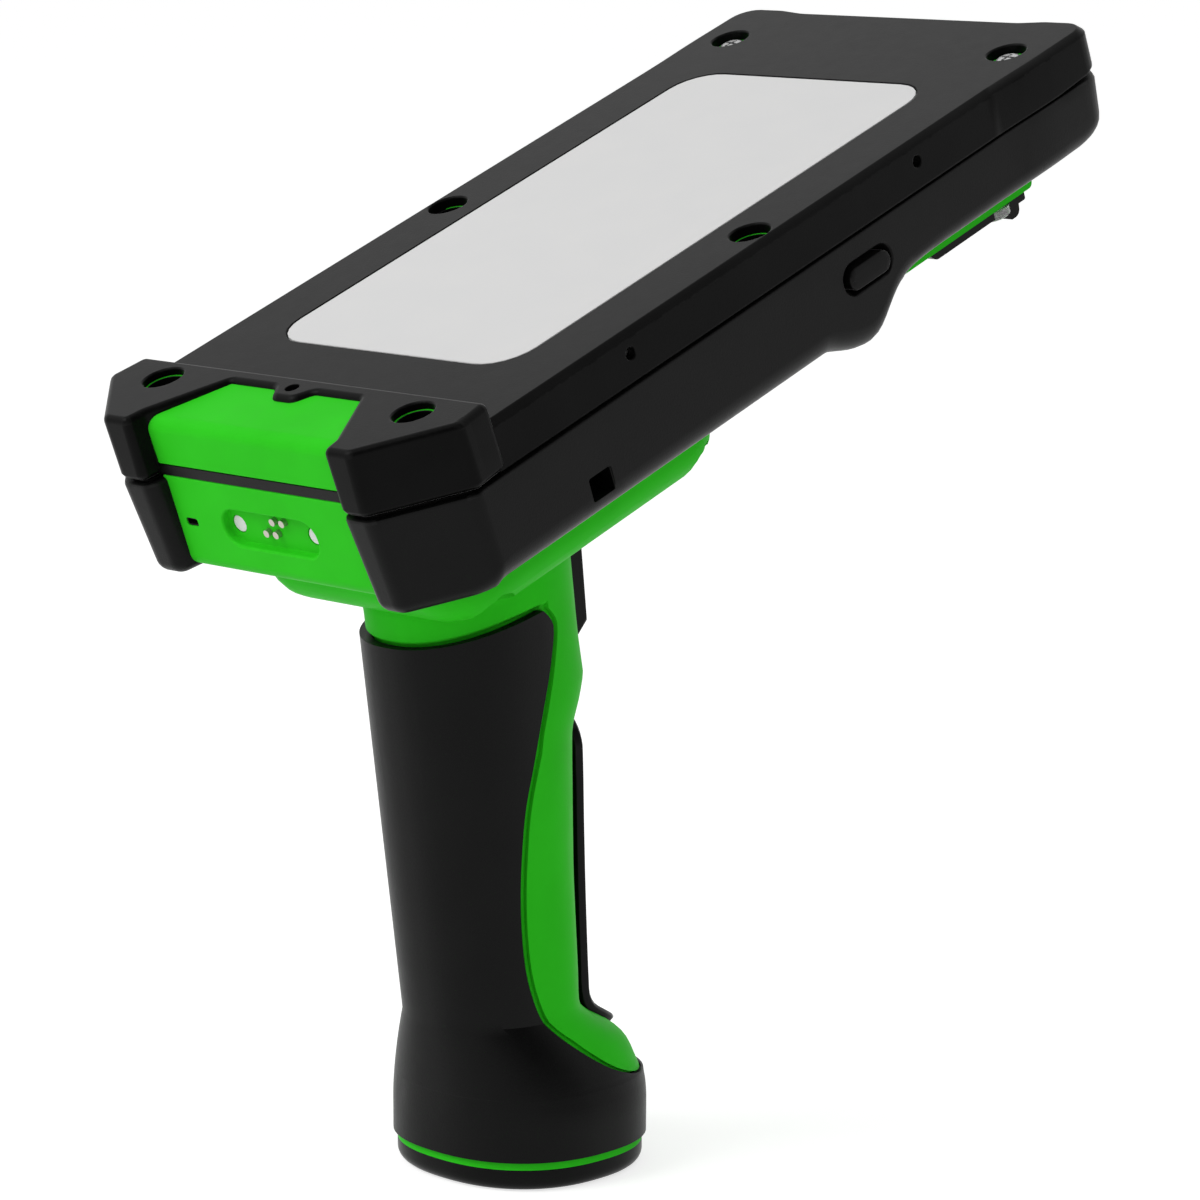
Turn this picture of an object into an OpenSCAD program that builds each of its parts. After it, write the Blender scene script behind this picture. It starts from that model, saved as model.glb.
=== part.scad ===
// Phone case on a pistol grip, with a barcode scan module under its far end.
// Millimetres. The handle stands on its base at the origin, +Z up, +Y towards the scanning end.
// The case lies on a slant: its own axes are U across (+X), V towards the far end and W up
// through the window, with zero at the middle pair of cover screws on the cover's flat top.

/* [Phone] */
// Width of the phone that the bay holds
phone_w = 71.5; // [66:0.1:78]
// Length of the phone
phone_l = 146.7; // [138:0.1:160]
// Thickness of the phone
phone_t = 7.8; // [6.6:0.1:9]
// Gap round the phone in its bay
bay_gap = 0.3; // [0.2:0.05:0.8]
// Extra room past each end of the phone
end_room = 1.85; // [1:0.05:4]

/* [Case] */
// Slant of the case against the level base, in degrees
tilt = 21.24; // [15:0.1:28]
// Wall from the bay to the outside, at the sides
side_wall = 8.85; // [8.2:0.05:12]
// Wall from the bay to the far end
far_wall = 17.9; // [16:0.1:24]
// Wall from the bay to the near end
near_wall = 18.7; // [17.5:0.1:24]
// Depth of the cover from its flat top to the parting line
cover_h = 9.3; // [8.6:0.1:10]
// Thickness of the soft skin over the hard frames
skin_t = 2.4; // [1.8:0.1:3]
// Radius of the far corners
far_r = 7; // [5:0.5:12]
// Length that the near corners lose to their slanted cut
corner_cut = 13.4; // [8:0.1:15]
// Width of the bevel round the cover's top edge
bevel = 1.3; // [0.6:0.1:1.8]
// Height of the near corner blocks over the flat top
block_h = 3.5; // [2.5:0.1:5]
// Length of the near corner blocks
block_l = 19.85; // [17:0.05:24]
// Half width of the front notch at its inner end
notch_in = 17.5; // [14:0.1:20]
// Half width of the front notch at the near end
notch_out = 27.5; // [24:0.1:30]
// Distance from the power button's centre down to the underside
belly_h = 11.6; // [10.6:0.1:16]
// How far the underside rises towards the far end
far_rise = 5.5; // [3:0.1:7]
// How far the finger ridges stand below the underside
ridge_h = 3.9; // [2:0.1:6]
// Radius of the rounding along the lower edges
belly_r = 5; // [3:0.5:6]

/* [Window] */
// Thickness of the screen window
window_t = 1.2; // [0.8:0.1:2]
// Thickness of the seal under the window
window_seal_t = 0.8; // [0.5:0.1:1.5]
// Strip of cover between the bay's sides and the window
window_side = 5.25; // [4:0.05:8]
// Strip between the bay's far end and the window
window_far = 12.1; // [8:0.1:20]
// Strip between the bay's near end and the window
window_near = 19.46; // [12:0.01:26]
// Corner radius of the window
window_r = 8; // [3:0.5:12]
// Width of the ledge that carries the window
ledge_w = 2; // [1.5:0.1:3]
// Thickness of that ledge
ledge_t = 1; // [0.8:0.1:2]

/* [Fasteners] */
// Thread diameter of the cover screws
screw_d = 3; // [2.5:0.1:3.5]
// Head diameter of the cover screws
head_d = 5.7; // [5:0.1:6.2]
// Head height of the cover screws
head_h = 2; // [1.5:0.1:2.4]
// Diameter of the holes in the skin over the screws
hole_d = 7.8; // [7:0.1:8.6]
// Reach of the cover screws below the parting line
screw_reach = 8; // [6:0.5:9]
// Outside diameter of the threaded inserts
insert_d = 4.6; // [4.2:0.1:5]
// Diameter of the small screws in the saddle, grip, base and scan module
small_d = 2.5; // [2:0.1:3]
// Diameter of the side pins
pin_d = 2; // [1.5:0.1:2.4]
// Length of the side pins
pin_l = 4; // [3:0.1:5]

/* [Inside] */
// Thickness of the tray under the phone
tray_t = 1.5; // [1:0.1:2.5]
// Thickness of the circuit boards
board_t = 1.6; // [1:0.1:2]
// Gap between the tray and the main board
board_gap = 0.4; // [0.3:0.1:1]
// Height of the power switch under the board
switch_h = 3.6; // [3:0.1:5]
// Half width of the boss along the underside
boss_hw = 32; // [29:0.1:33]
// How far the boss stands below the skin's underside
boss_proud = 1.2; // [0.3:0.1:2]
// Thickness of the boss's floor
floor_t = 2.5; // [2:0.1:4]
// Height of the seal band between the halves
band_h = 2; // [1.4:0.1:2.4]

/* [Contacts] */
// Length of the charging recess
recess_l = 25.6; // [22:0.1:32]
// Height of the charging recess
recess_h = 8; // [6.5:0.1:10]
// Depth of the charging recess
recess_depth = 1.1; // [0.6:0.1:1.6]
// Diameter of the white pads
pad_d = 4; // [3:0.1:5]
// Distance of each pad from the middle
pad_u = 9.95; // [7:0.05:12]
// Pitch of the charge pins
pin_pitch = 2.5; // [2:0.02:2.6]
// Diameter of the charge pins
contact_d = 1.4; // [0.8:0.1:1.6]

/* [Buttons] */
// Length of the power button's pocket
button_l = 14.5; // [12:0.1:18]
// Height of the power button's pocket
button_h = 5.6; // [4.5:0.1:7]
// Gap round the button in its pocket
button_gap = 0.6; // [0.35:0.05:1]
// Distance of the power button from the middle screws, towards the far end
button_v = 21; // [14:0.1:26]
// Travel of the power button
button_travel = 0.8; // [0.4:0.1:1]
// Diameter of the button's stem
stem_d = 3.4; // [2.5:0.1:4]

/* [Scan module] */
// Far end of the boss, past the middle screws
boss_far = 84; // [80:0.1:86]
// Near end of the black optics bezel
bezel_near = 53; // [48:0.5:58]
// Length of the bezel
bezel_l = 28.5; // [24:0.5:30]
// Thickness of the bezel
bezel_t = 1.2; // [1:0.1:2]
// Height of the hood over the bezel
hood_h = 2.4; // [1.5:0.1:3]
// Diameter of the flash lens
lens_d = 7; // [5:0.1:9]
// Width of the scan window
scan_w = 26; // [20:0.5:32]
// Length of the scan window
scan_l = 11; // [8:0.5:14]

/* [Saddle] */
// Width of the saddle
saddle_w = 58; // [50:0.5:60]
// Near end of the saddle, before the middle screws
saddle_near = 77; // [70:0.5:80]
// Far end of the saddle, before the middle screws
saddle_far = 5; // [3:0.5:12]
// Depth of the saddle below the boss
saddle_h = 13.6; // [12:0.1:16]
// Corner radius of the saddle
saddle_r = 12; // [8:0.5:14]

/* [Grip] */
// Height of the middle screws' centre over the floor
slab_z = 174.7; // [168:0.1:182]
// Distance of the middle screws' centre ahead of the base's middle
slab_y = 19.65; // [12:0.05:26]
// Width of the foot
foot_w = 46.4; // [42:0.2:54]
// Depth of the foot, front to back
foot_d = 44; // [40:0.2:54]
// Height at which the foot starts to draw in
foot_z = 12; // [9:0.1:14]
// Height of the waist over the foot
waist_z = 28.8; // [25:0.1:32]
// Width of the grip at its waist
waist_w = 32; // [30:0.1:36]
// Back of the grip at its waist, behind the base's middle
waist_back = 23; // [20:0.1:26]
// Width of the grip at its top
top_w = 34; // [32:0.1:38]
// Back of the grip at its top
top_back = 33.8; // [30:0.1:38]
// Front of the green core, ahead of the base's middle
core_front = 8.2; // [7:0.1:10]
// Height of the sleeve's top rim at the middle of the grip
rim_z = 106.8; // [103:0.1:108]
// Fall of the sleeve's rim towards the back, per millimetre
rim_slope = 0.25; // [0:0.01:0.4]
// Thickness of the rubber sleeve
sleeve_t = 2; // [1.5:0.1:2.5]
// Gap between the sleeve's edge and the green core
sleeve_gap = 0.4; // [0.3:0.1:0.8]
// Width of the finger pad
pad_w = 17; // [13:0.5:20]
// How far the finger pad stands proud
pad_t = 1.9; // [1.2:0.1:2.5]
// Lower end of the finger pad
pad_z0 = 25.5; // [25:0.5:34]
// Upper end of the finger pad
pad_z1 = 84; // [76:0.5:88]

/* [Base] */
// Height of the base cap
cap_h = 4.35; // [3.5:0.05:6]
// Height of the green ring over the cap
ring_h = 1.35; // [1:0.05:3]
// Rounding of the cap's lower edge
cap_r = 2.4; // [1:0.1:3]
// How far the ring and cap stand in from the foot
base_inset = 0.75; // [0.4:0.05:1.5]

/* [Battery] */
// Diameter of the battery cell
cell_d = 18.4; // [16:0.1:19]
// Length of the battery cell
cell_l = 65; // [50:0.5:66]
// Gap round the cell
cell_gap = 0.3; // [0.2:0.05:0.6]

/* [Trigger] */
// Width of the trigger blade
trigger_w = 11; // [9:0.1:13]
// Height of the trigger's tip over the floor
trigger_z = 97.5; // [96:0.1:100]
// Room between the trigger's hub and the saddle over it
hub_room = 1.6; // [1.2:0.1:2.5]
// Distance of the pivot ahead of the base's middle
pivot_y = 2.5; // [2:0.1:3]
// Front of the trigger at its tip
trigger_front = 12.4; // [11:0.1:14]
// Diameter of the trigger's pin
trigger_pin_d = 3; // [2:0.1:3.2]
// Pull of the trigger, in degrees
trigger_pull = 8; // [5:0.5:9]

/* [Hidden] */
$fn = 64;
// Overlap used where a cut has to pass right through a face
cut = 1;
// Depth of holes that run right through
deep = 20;
// Gap between pieces that are assembled without play
fit = 0.1;
// Radial clearance of a pin or screw in its hole
running = 0.05;

// Colours
black = [0.11, 0.11, 0.11];
green = [0.17, 0.69, 0.12];
pale = [0.84, 0.84, 0.83];
steel = [0.7, 0.7, 0.7];
brass = [0.72, 0.58, 0.3];
board = [0.05, 0.3, 0.16];

// Bay and case outline
bay_hw = phone_w / 2 + bay_gap;
bay_hl = phone_l / 2 + bay_gap + end_room;
case_hw = bay_hw + side_wall;
case_far = bay_hl + far_wall;
case_near = bay_hl + near_wall;
front_v = case_near - skin_t;
block_v = case_near - block_l;
notch_back = 1.75;
notch_v = block_v + notch_back;

// Levels along W
w_skin = -(window_t + window_seal_t);
w_ledge = w_skin - ledge_t;
w_floor = w_ledge - phone_t - bay_gap;
w_tray = w_floor - tray_t;
w_board = w_tray - board_gap - board_t;
button_w = w_board - switch_h / 2;
w_bottom = button_w - belly_h;
w_far = w_bottom + far_rise;
tub_t = 2.3;
w_tub = w_far + tub_t;
w_boss = w_bottom - boss_proud;
w_inner = w_boss + floor_t;
w_part = -cover_h;
// Half of the gap between the skins at the parting line
parting = 0.1;
band_gap = 0.3;
w_band0 = w_part + band_gap;
w_band1 = w_band0 + band_h;
w_saddle = w_boss - saddle_h;
boss_wall = 2.5;
cavity_hw = boss_hw - boss_wall;
front_t = 3.3;
cavity_near = front_v - front_t;
// The cavity is wide up to cavity_v, and narrow from there to the charging face
cavity_v = notch_v - boss_wall;
tail_hw = notch_in - boss_wall;

// Cover screws: middle, far and near pairs, each with the level of the frame's top under the skin
block_skin = 2.3;
near_rise = block_h - block_skin;
mid_screw_out = 3.2;
far_screw_in = 0.25;
far_screw_past = 4.15;
near_screw_in = 3.05;
near_screw_past = 4.7;
mid_screw_u = bay_hw + mid_screw_out;
far_screw_u = bay_hw - far_screw_in;
far_screw_v = bay_hl + far_screw_past;
near_screw_u = bay_hw - near_screw_in;
near_screw_v = bay_hl + near_screw_past;
cover_screw_at = [
    [mid_screw_u, 0, w_skin],
    [far_screw_u, far_screw_v, w_skin],
    [near_screw_u, -near_screw_v, near_rise]
];
seat_depth = 3.2;
head_slack = 0.7;
cross_l = 3.2;
cross_t = 0.7;
cross_depth = 0.9;
seat_wall = 2.15;
boss_d = head_d + 2 * seat_wall;

// Saddle screws
saddle_screw_in = 9;
saddle_screw_side = 6;
saddle_screw_u = saddle_w / 2 - saddle_screw_side;
saddle_screw_at = [
    for (u = [-1, 1], v = [-(saddle_near - saddle_screw_in), -(saddle_far + saddle_screw_in)])
        [u * saddle_screw_u, v]
];
small_head_d = small_d * 1.9;
small_head_h = 1.8;
small_slack = 0.4;
pocket_room = 4.25;
pocket_d = small_head_d + pocket_room;
pocket_roof = 5;

// Outline of the case in U and V, drawn in by d
function arc(c, r, a0, a1, n) =
    [for (i = [0:n]) c + r * [cos(a0 + (a1 - a0) * i / n), sin(a0 + (a1 - a0) * i / n)]];
function case_pts(d) =
    let (h = case_hw - d, n = case_near - d, f = case_far - d, r = far_r - d)
    let (s = case_hw + case_near - corner_cut - d * sqrt(2))
    concat(
        [[s - n, -n], [h, h - s]],
        arc([h - r, f - r], r, 0, 90, 6),
        arc([r - h, f - r], r, 90, 180, 6),
        [[-h, h - s], [n - s, -n]]
    );
function notch_pts(d) = [
    [-notch_out - cut + d, -case_near - cut], [notch_out + cut - d, -case_near - cut],
    [notch_in - d, -notch_v - d], [-notch_in + d, -notch_v - d]
];

// Places its children in the case's slanted axes
module slab() {
    translate([0, slab_y, slab_z])
        rotate([tilt, 0, 0])
            children();
}

// Extrudes an outline drawn in V and W (or Y and Z) across U
module across(width) {
    rotate([90, 0, 90])
        linear_extrude(width, center = true)
            children();
}

// Plate from level z0 up to z1
module plate(z0, z1) {
    translate([0, 0, z0])
        linear_extrude(z1 - z0)
            children();
}

// Box given by its low and high corners
module box(lo, hi) {
    translate(lo)
        cube(hi - lo);
}

// Rounded rectangle with its low and high corners
module rounded(lo, hi, r) {
    translate([lo[0] + r, lo[1]])
        square([hi[0] - lo[0] - 2 * r, hi[1] - lo[1]]);
    translate([lo[0], lo[1] + r])
        square([hi[0] - lo[0], hi[1] - lo[1] - 2 * r]);
    for (x = [lo[0] + r, hi[0] - r], y = [lo[1] + r, hi[1] - r])
        translate([x, y])
            circle(r);
}

// Pill outline of length l and height h
module pill(l, h) {
    square([l - h, h], center = true);
    for (x = [-1, 1])
        translate([x * (l - h) / 2, 0])
            circle(d = h);
}

// Repeats its children on both sides
module both_sides() {
    for (m = [0, 1])
        mirror([m, 0, 0])
            children();
}

module at_cover_screws() {
    both_sides()
        for (s = cover_screw_at)
            translate(s)
                children();
}

// Screw pointing down, with the underside of its head at zero
module screw(d, head, height, length) {
    cylinder(h = height, d = head);
    translate([0, 0, -length])
        cylinder(h = length, d = d);
}

// Window outline grown by d
module window_2d(d) {
    rounded([-(bay_hw - window_side) - d, -(bay_hl - window_near) - d],
            [bay_hw - window_side + d, bay_hl - window_far + d], window_r + d);
}

module bay(z0, z1) {
    box([-bay_hw, -bay_hl, z0], [bay_hw, bay_hl, z1]);
}

// Pocket for the dock connector at the near end of the bay
dock_hw = 10;
dock_l = 9;
dock_room = 1;
dock_gap = 0.5;
plug_hw = 4.1;
plug_t = 2.4;
plug_l = 6.5;
w_plug = w_ledge - phone_t / 2;
w_dock = w_plug + 3.2;
module dock_pocket() {
    box([-dock_hw - dock_room, -bay_hl - dock_l - dock_room, w_tray - cut],
        [dock_hw + dock_room, -bay_hl + cut, w_dock + dock_gap]);
}

// Cover

ear_past = 1.3;
ear_v = notch_v + ear_past;
ear_r = 3.9;
ear_t = 1.7;
ear_hole = 2.4;

side_pin_back = 35.6;
side_pin_v = bay_hl - side_pin_back;
side_pin_w = -4;
side_pin_in = 0.6;
side_pin_slack = 0.3;
module side_holes(d, depth) {
    both_sides()
        for (v = [-1, 1])
            translate([case_hw + cut, v * side_pin_v, side_pin_w])
                rotate([0, -90, 0])
                    cylinder(h = depth + cut, d = d);
}

module top_cover() {
    color(black) slab() {
        difference() {
            union() {
                plate(w_part + parting, 0) polygon(case_pts(0));
                intersection() {
                    plate(-cut, block_h) polygon(case_pts(0));
                    box([-case_hw, -case_near, -cut], [case_hw, -block_v, block_h]);
                }
            }
            plate(w_part - cut, w_skin) polygon(case_pts(skin_t));
            plate(w_skin - cut, cut) window_2d(fit);
            plate(w_part - cut, block_h + cut) polygon(notch_pts(0));
            both_sides() {
                translate([case_hw, (case_far - block_v) / 2, 0])
                    rotate([0, 45, 0])
                        cube([bevel * sqrt(2), case_far + block_v, bevel * sqrt(2)], center = true);
                translate([near_screw_u, -near_screw_v, w_skin - cut])
                    cylinder(h = near_rise - w_skin + cut, d = boss_d + 2 * fit);
            }
            translate([0, case_far, 0])
                rotate([45, 0, 0])
                    cube([2 * case_hw, bevel * sqrt(2), bevel * sqrt(2)], center = true);
            at_cover_screws()
                translate([0, 0, -cut])
                    cylinder(h = block_h - w_skin + 2 * cut, d = hole_d);
            side_holes(pin_d + side_pin_slack, skin_t + cut);
        }
        difference() {
            translate([0, -ear_v, block_h - ear_t])
                cylinder(h = ear_t, r = ear_r);
            translate([0, -ear_v, block_h - ear_t - cut])
                cylinder(h = ear_t + 2 * cut, d = ear_hole);
        }
    }
}

// Upper green front: its back and bend levels, and the size of the bend
tongue_low = 0.8;
bend_low = 1.8;
tongue_back = block_h - tongue_low;
tongue_bend = block_h - bend_low;
bend_l = 1.2;
bend_h = 1.4;
module cover_frame() {
    color(green) slab() difference() {
        union() {
            plate(w_band1, w_skin) polygon(case_pts(skin_t + fit));
            intersection() {
                across(2 * notch_out)
                    polygon([[-notch_v, w_skin - cut], [-notch_v, tongue_back],
                             [-front_v + bend_l, tongue_bend], [-front_v + fit, tongue_bend - bend_h],
                             [-front_v + fit, w_skin - cut]]);
                plate(w_skin - cut, block_h) polygon(notch_pts(fit));
            }
            both_sides()
                translate([near_screw_u, -near_screw_v, w_skin - cut])
                    cylinder(h = near_rise - w_skin + cut, d = boss_d);
        }
        bay(w_band1 - cut, w_ledge);
        plate(w_ledge - cut, w_skin + cut) window_2d(-ledge_w);
        at_cover_screws() {
            translate([0, 0, -seat_depth])
                cylinder(h = seat_depth + cut, d = head_d + head_slack);
            translate([0, 0, -deep])
                cylinder(h = deep, d = screw_d + 2 * running);
        }
        side_holes(pin_d + 2 * running, skin_t + pin_l);
        dock_pocket();
        translate([0, -ear_v, block_h - ear_t - fit])
            cylinder(h = ear_t + cut, r = ear_r + fit);
    }
}

module screen_window() {
    color(pale) slab()
        plate(-window_t, 0) window_2d(0);
}

module window_seal() {
    color(black) slab() difference() {
        plate(w_skin, -window_t) window_2d(0);
        plate(w_skin - cut, cut) window_2d(-ledge_w);
    }
}

module cover_screws() {
    color(steel) slab()
        both_sides()
            for (s = cover_screw_at)
                translate([s[0], s[1], s[2] - seat_depth])
                    difference() {
                        screw(screw_d, head_d, head_h, s[2] - seat_depth - w_part + screw_reach);
                        for (a = [0, 90])
                            rotate(a)
                                box([-cross_l / 2, -cross_t / 2, head_h - cross_depth],
                                    [cross_l / 2, cross_t / 2, head_h + cut]);
                    }
}

module side_pins() {
    color(steel) slab()
        both_sides()
            for (v = [-1, 1])
                translate([case_hw - skin_t + side_pin_in, v * side_pin_v, side_pin_w])
                    rotate([0, -90, 0])
                        cylinder(h = pin_l, d = pin_d);
}

// Lower half

module split_seal() {
    color(black) slab() difference() {
        plate(w_band0, w_band1) polygon(case_pts(skin_t + fit));
        bay(w_band0 - cut, w_band1 + cut);
        dock_pocket();
        at_cover_screws()
            translate([0, 0, -deep])
                cylinder(h = deep, d = insert_d);
    }
}

// Lowest line of the bumper at v: a finger ridge, then a long sweep up to the far end
ridge_v = 15.8;
ridge_near = 10.3;
ridge_l = 9.8;
end_r = 4.3;
function belly_w(v) =
    v < ridge_v
    ? w_bottom - ridge_h * sin(90 * max(0, 1 - (ridge_v - v) / ridge_near))
    : w_far - (w_far - w_bottom + ridge_h) * exp(-pow((v - ridge_v) / ridge_l, 2));
// How far the rounded ends lift that line, at a distance t from the end
function end_lift(t) = t > end_r ? 0 : end_r - sqrt(max(0, end_r * end_r - pow(end_r - max(0, t), 2)));

// Section of the bumper across U at v, with rounded lower edges, as points from right to left
belly_n = 5;
belly_hw = case_hw + running;
function belly_ring(v) =
    let (w = belly_w(v) + end_lift(v + case_near) + end_lift(case_far - v))
    concat(
        [[belly_hw, v, w_part + cut]],
        [for (i = [0:belly_n]) let (a = 90 * i / belly_n)
            [belly_hw - belly_r * (1 - cos(a)), v, w + belly_r * (1 - sin(a))]],
        [for (i = [belly_n:-1:0]) let (a = 90 * i / belly_n)
            [-belly_hw + belly_r * (1 - cos(a)), v, w + belly_r * (1 - sin(a))]],
        [[-belly_hw, v, w_part + cut]]
    );

// Body of the bumper, lofted along V through its sections
end_steps = [0, 0.12, 0.3, 0.6, 1];
ridge_steps = 5;
sweep_steps = 11;
module belly() {
    last = len(end_steps) - 1;
    near = [for (t = end_steps) -case_near + end_r * t];
    ridge = [for (i = [0:ridge_steps]) ridge_v - ridge_near * (1 - i / ridge_steps)];
    sweep = [for (i = [1:sweep_steps]) ridge_v + ridge_l * i / ridge_steps];
    far = [for (i = [0:last]) case_far - end_r * end_steps[last - i]];
    stations = concat([-case_near - cut], near, ridge, sweep, far, [case_far + cut]);
    rings = [for (v = stations) belly_ring(v)];
    m = len(rings[0]);
    n = len(rings);
    walls = [
        for (i = [0:n - 2], j = [0:m - 1])
            let (a = i * m + j, b = i * m + (j + 1) % m)
            each [[a, a + m, b], [b, a + m, b + m]]
    ];
    near_face = [[for (j = [0:m - 1]) j]];
    far_face = [[for (j = [m - 1:-1:0]) (n - 1) * m + j]];
    polyhedron([for (r = rings) each r], concat(near_face, walls, far_face), convexity = 4);
}

// Places a pill outline's extrusion on the right side at the power button
module at_button(u) {
    translate([u, button_v, button_w])
        rotate([90, 0, 90])
            children();
}

// Small window in both sides of the lower half
window_back = 21.1;
window_up = 6;
window_v = bay_hl - window_back;
window_w = w_bottom + window_up;
window_size = [4.4, 3.4];
window_rim = 1;
module side_window(l, h) {
    both_sides()
        box([cavity_hw - cut, -window_v - l / 2, window_w - h / 2],
            [case_hw + cut, -window_v + l / 2, window_w + h / 2]);
}

module lower_bumper() {
    color(black) slab() difference() {
        intersection() {
            plate(w_bottom - 2 * ridge_h, w_part - parting) polygon(case_pts(0));
            belly();
        }
        plate(w_tub - fit, w_part + cut) polygon(case_pts(skin_t));
        box([-boss_hw - fit, -notch_v, w_bottom - 3 * ridge_h],
            [boss_hw + fit, boss_far + fit, w_part + cut]);
        plate(w_bottom - cut, w_part + cut) polygon(notch_pts(0));
        at_button(bay_hw)
            linear_extrude(side_wall + cut) pill(button_l, button_h);
        side_window(window_size[0] + window_rim, window_size[1] + window_rim);
    }
}

// Boss along the underside and the green front that it ends in: its side view, then its outline
front_round = 5;
boss_bevel = 1.5;
boss_side = concat(
    [[-front_v + fit, w_tub]],
    arc([-front_v + fit + front_round, w_boss + front_round], front_round, 180, 270, 6),
    [[boss_far - boss_bevel, w_boss], [boss_far, w_boss + boss_bevel], [boss_far, w_tub]]
);
boss_half = [
    [notch_out + cut - fit, -case_near - cut], [notch_in - fit, -notch_v - fit],
    [notch_in - fit, -notch_v + fit], [boss_hw, -notch_v + fit], [boss_hw, boss_far]
];
boss_left = [for (i = [len(boss_half) - 1:-1:0]) [-boss_half[i][0], boss_half[i][1]]];
module boss() {
    intersection() {
        across(2 * boss_hw) polygon(boss_side);
        plate(w_boss - cut, w_band0) polygon(concat(boss_half, boss_left));
    }
}
recess_drop = 8;
recess_w = w_part - recess_drop;
wire_d = 9;
core_wire_d = 7;
// Wire hole over the grip, behind the saddle's middle
grip_back = 8;
grip_v = -(saddle_near + saddle_far) / 2 - grip_back;
// Pillars and thread depth of the saddle's screws
pillar_h = 8;
pillar_wall = 2.5;
thread_l = 7;
// Pads, pins and slot of the charging face
pad_depth = 1.4;
pad_in = 0.3;
slot_u = 19.6;
slot_l = 2.4;
slot_t = 0.9;
slot_depth = 1.2;

module at_saddle_screws() {
    for (s = saddle_screw_at)
        translate([s[0], s[1], 0])
            children();
}

module contact_places() {
    for (p = [[0, 0.5], [1, 0.5], [-1, -0.5], [0, -0.5]])
        translate([p[0] * pin_pitch, 0, recess_w + p[1] * pin_pitch])
            rotate([-90, 0, 0])
                children();
}

module lower_frame() {
    color(green) slab() difference() {
        union() {
            plate(w_tub, w_band0) polygon(case_pts(skin_t + fit));
            boss();
        }
        bay(w_tray, w_band0 + cut);
        difference() {
            union() {
                box([-cavity_hw, -cavity_v, w_inner], [cavity_hw, bay_hl, w_tray + cut]);
                box([-tail_hw, -cavity_near, w_inner], [tail_hw, -cavity_v + cut, w_tray + cut]);
            }
            at_saddle_screws()
                translate([0, 0, w_boss])
                    cylinder(h = pillar_h, d = small_d + 2 * pillar_wall);
            for (u = [-1, 1], v = board_posts)
                translate([u * (cavity_hw - post_in), v, w_boss])
                    cylinder(h = w_board - w_boss, d = post_d);
        }
        dock_pocket();
        at_cover_screws()
            translate([0, 0, -deep])
                cylinder(h = deep, d = insert_d + 2 * running);
        at_saddle_screws()
            translate([0, 0, w_boss - cut])
                cylinder(h = thread_l + cut, d = small_d + 2 * running);
        translate([0, -front_v - cut, recess_w])
            rotate([-90, 0, 0])
                linear_extrude(recess_depth + cut + fit) pill(recess_l, recess_h);
        translate([0, -front_v - cut, 0])
            contact_places()
                cylinder(h = front_t + 2 * cut, d = contact_d + 2 * running);
        both_sides()
            translate([pad_u, -front_v - cut, recess_w])
                rotate([-90, 0, 0])
                    cylinder(h = recess_depth + cut + pad_depth, d = pad_d + 2 * running);
        box([-slot_u - slot_l / 2, -front_v - cut, recess_w - slot_t / 2],
            [-slot_u + slot_l / 2, -front_v + slot_depth, recess_w + slot_t / 2]);
        side_window(window_size[0], window_size[1]);
        at_button(button_in - button_travel - button_floor)
            linear_extrude(side_wall) pill(button_l, button_h);
        at_button(cavity_hw - cut)
            cylinder(h = deep, d = stem_d + 2 * running);
        translate([0, grip_v, w_boss - cut])
            cylinder(h = floor_t + 2 * cut, d = wire_d);
        box([-scan_w / 2 + scan_rim, scan_v - scan_l / 2 + scan_rim, w_boss - cut],
            [scan_w / 2 - scan_rim, scan_v + scan_l / 2 - scan_rim, w_inner + cut]);
        for (u = [-1, 1])
            translate([u * module_screw_u, module_screw_v, w_boss - cut])
                cylinder(h = module_screw_l + fit + cut, d = small_d + 2 * running);
    }
}

module phone_tray() {
    color(black) slab() difference() {
        box([-bay_hw + fit, -bay_hl + fit, w_tray], [bay_hw - fit, bay_hl - fit, w_floor]);
        dock_pocket();
    }
}

module dock_connector() {
    color(black) slab() {
        box([-dock_hw, -bay_hl - dock_l, w_board + board_t], [dock_hw, -bay_hl - dock_gap, w_dock]);
        box([-plug_hw, -bay_hl - cut, w_plug - plug_t / 2],
            [plug_hw, -bay_hl + plug_l, w_plug + plug_t / 2]);
    }
}

post_back = 10;
post_far = 16;
board_posts = [-(bay_hl - post_back), post_far];
post_in = 3;
post_d = 5;
board_near = bay_hl + dock_l;
board_far = 34;
board_side = 0.5;
module main_board() {
    color(board) slab() {
        box([-cavity_hw + board_side, -cavity_v + board_side, w_board],
            [cavity_hw - board_side, board_far, w_board + board_t]);
        box([-tail_hw + board_side, -board_near, w_board],
            [tail_hw - board_side, -cavity_v + board_side + cut, w_board + board_t]);
    }
}

module charge_board() {
    color(board) slab() difference() {
        box([-recess_l / 2, -cavity_near, w_inner],
            [recess_l / 2, -cavity_near + board_t, w_board]);
        translate([0, -front_v, 0])
            contact_places()
                cylinder(h = deep, d = contact_d + 2 * running);
    }
}

module charge_pads() {
    color("white") slab()
        both_sides()
            translate([pad_u, -front_v + recess_depth + fit - pad_in, recess_w])
                rotate([-90, 0, 0])
                    cylinder(h = pad_depth, d = pad_d);
}

module charge_pins() {
    color(brass) slab()
        translate([0, -front_v + recess_depth + fit - pad_in, 0])
            contact_places()
                cylinder(h = front_v - cavity_near - recess_depth + board_t, d = contact_d);
}

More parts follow.
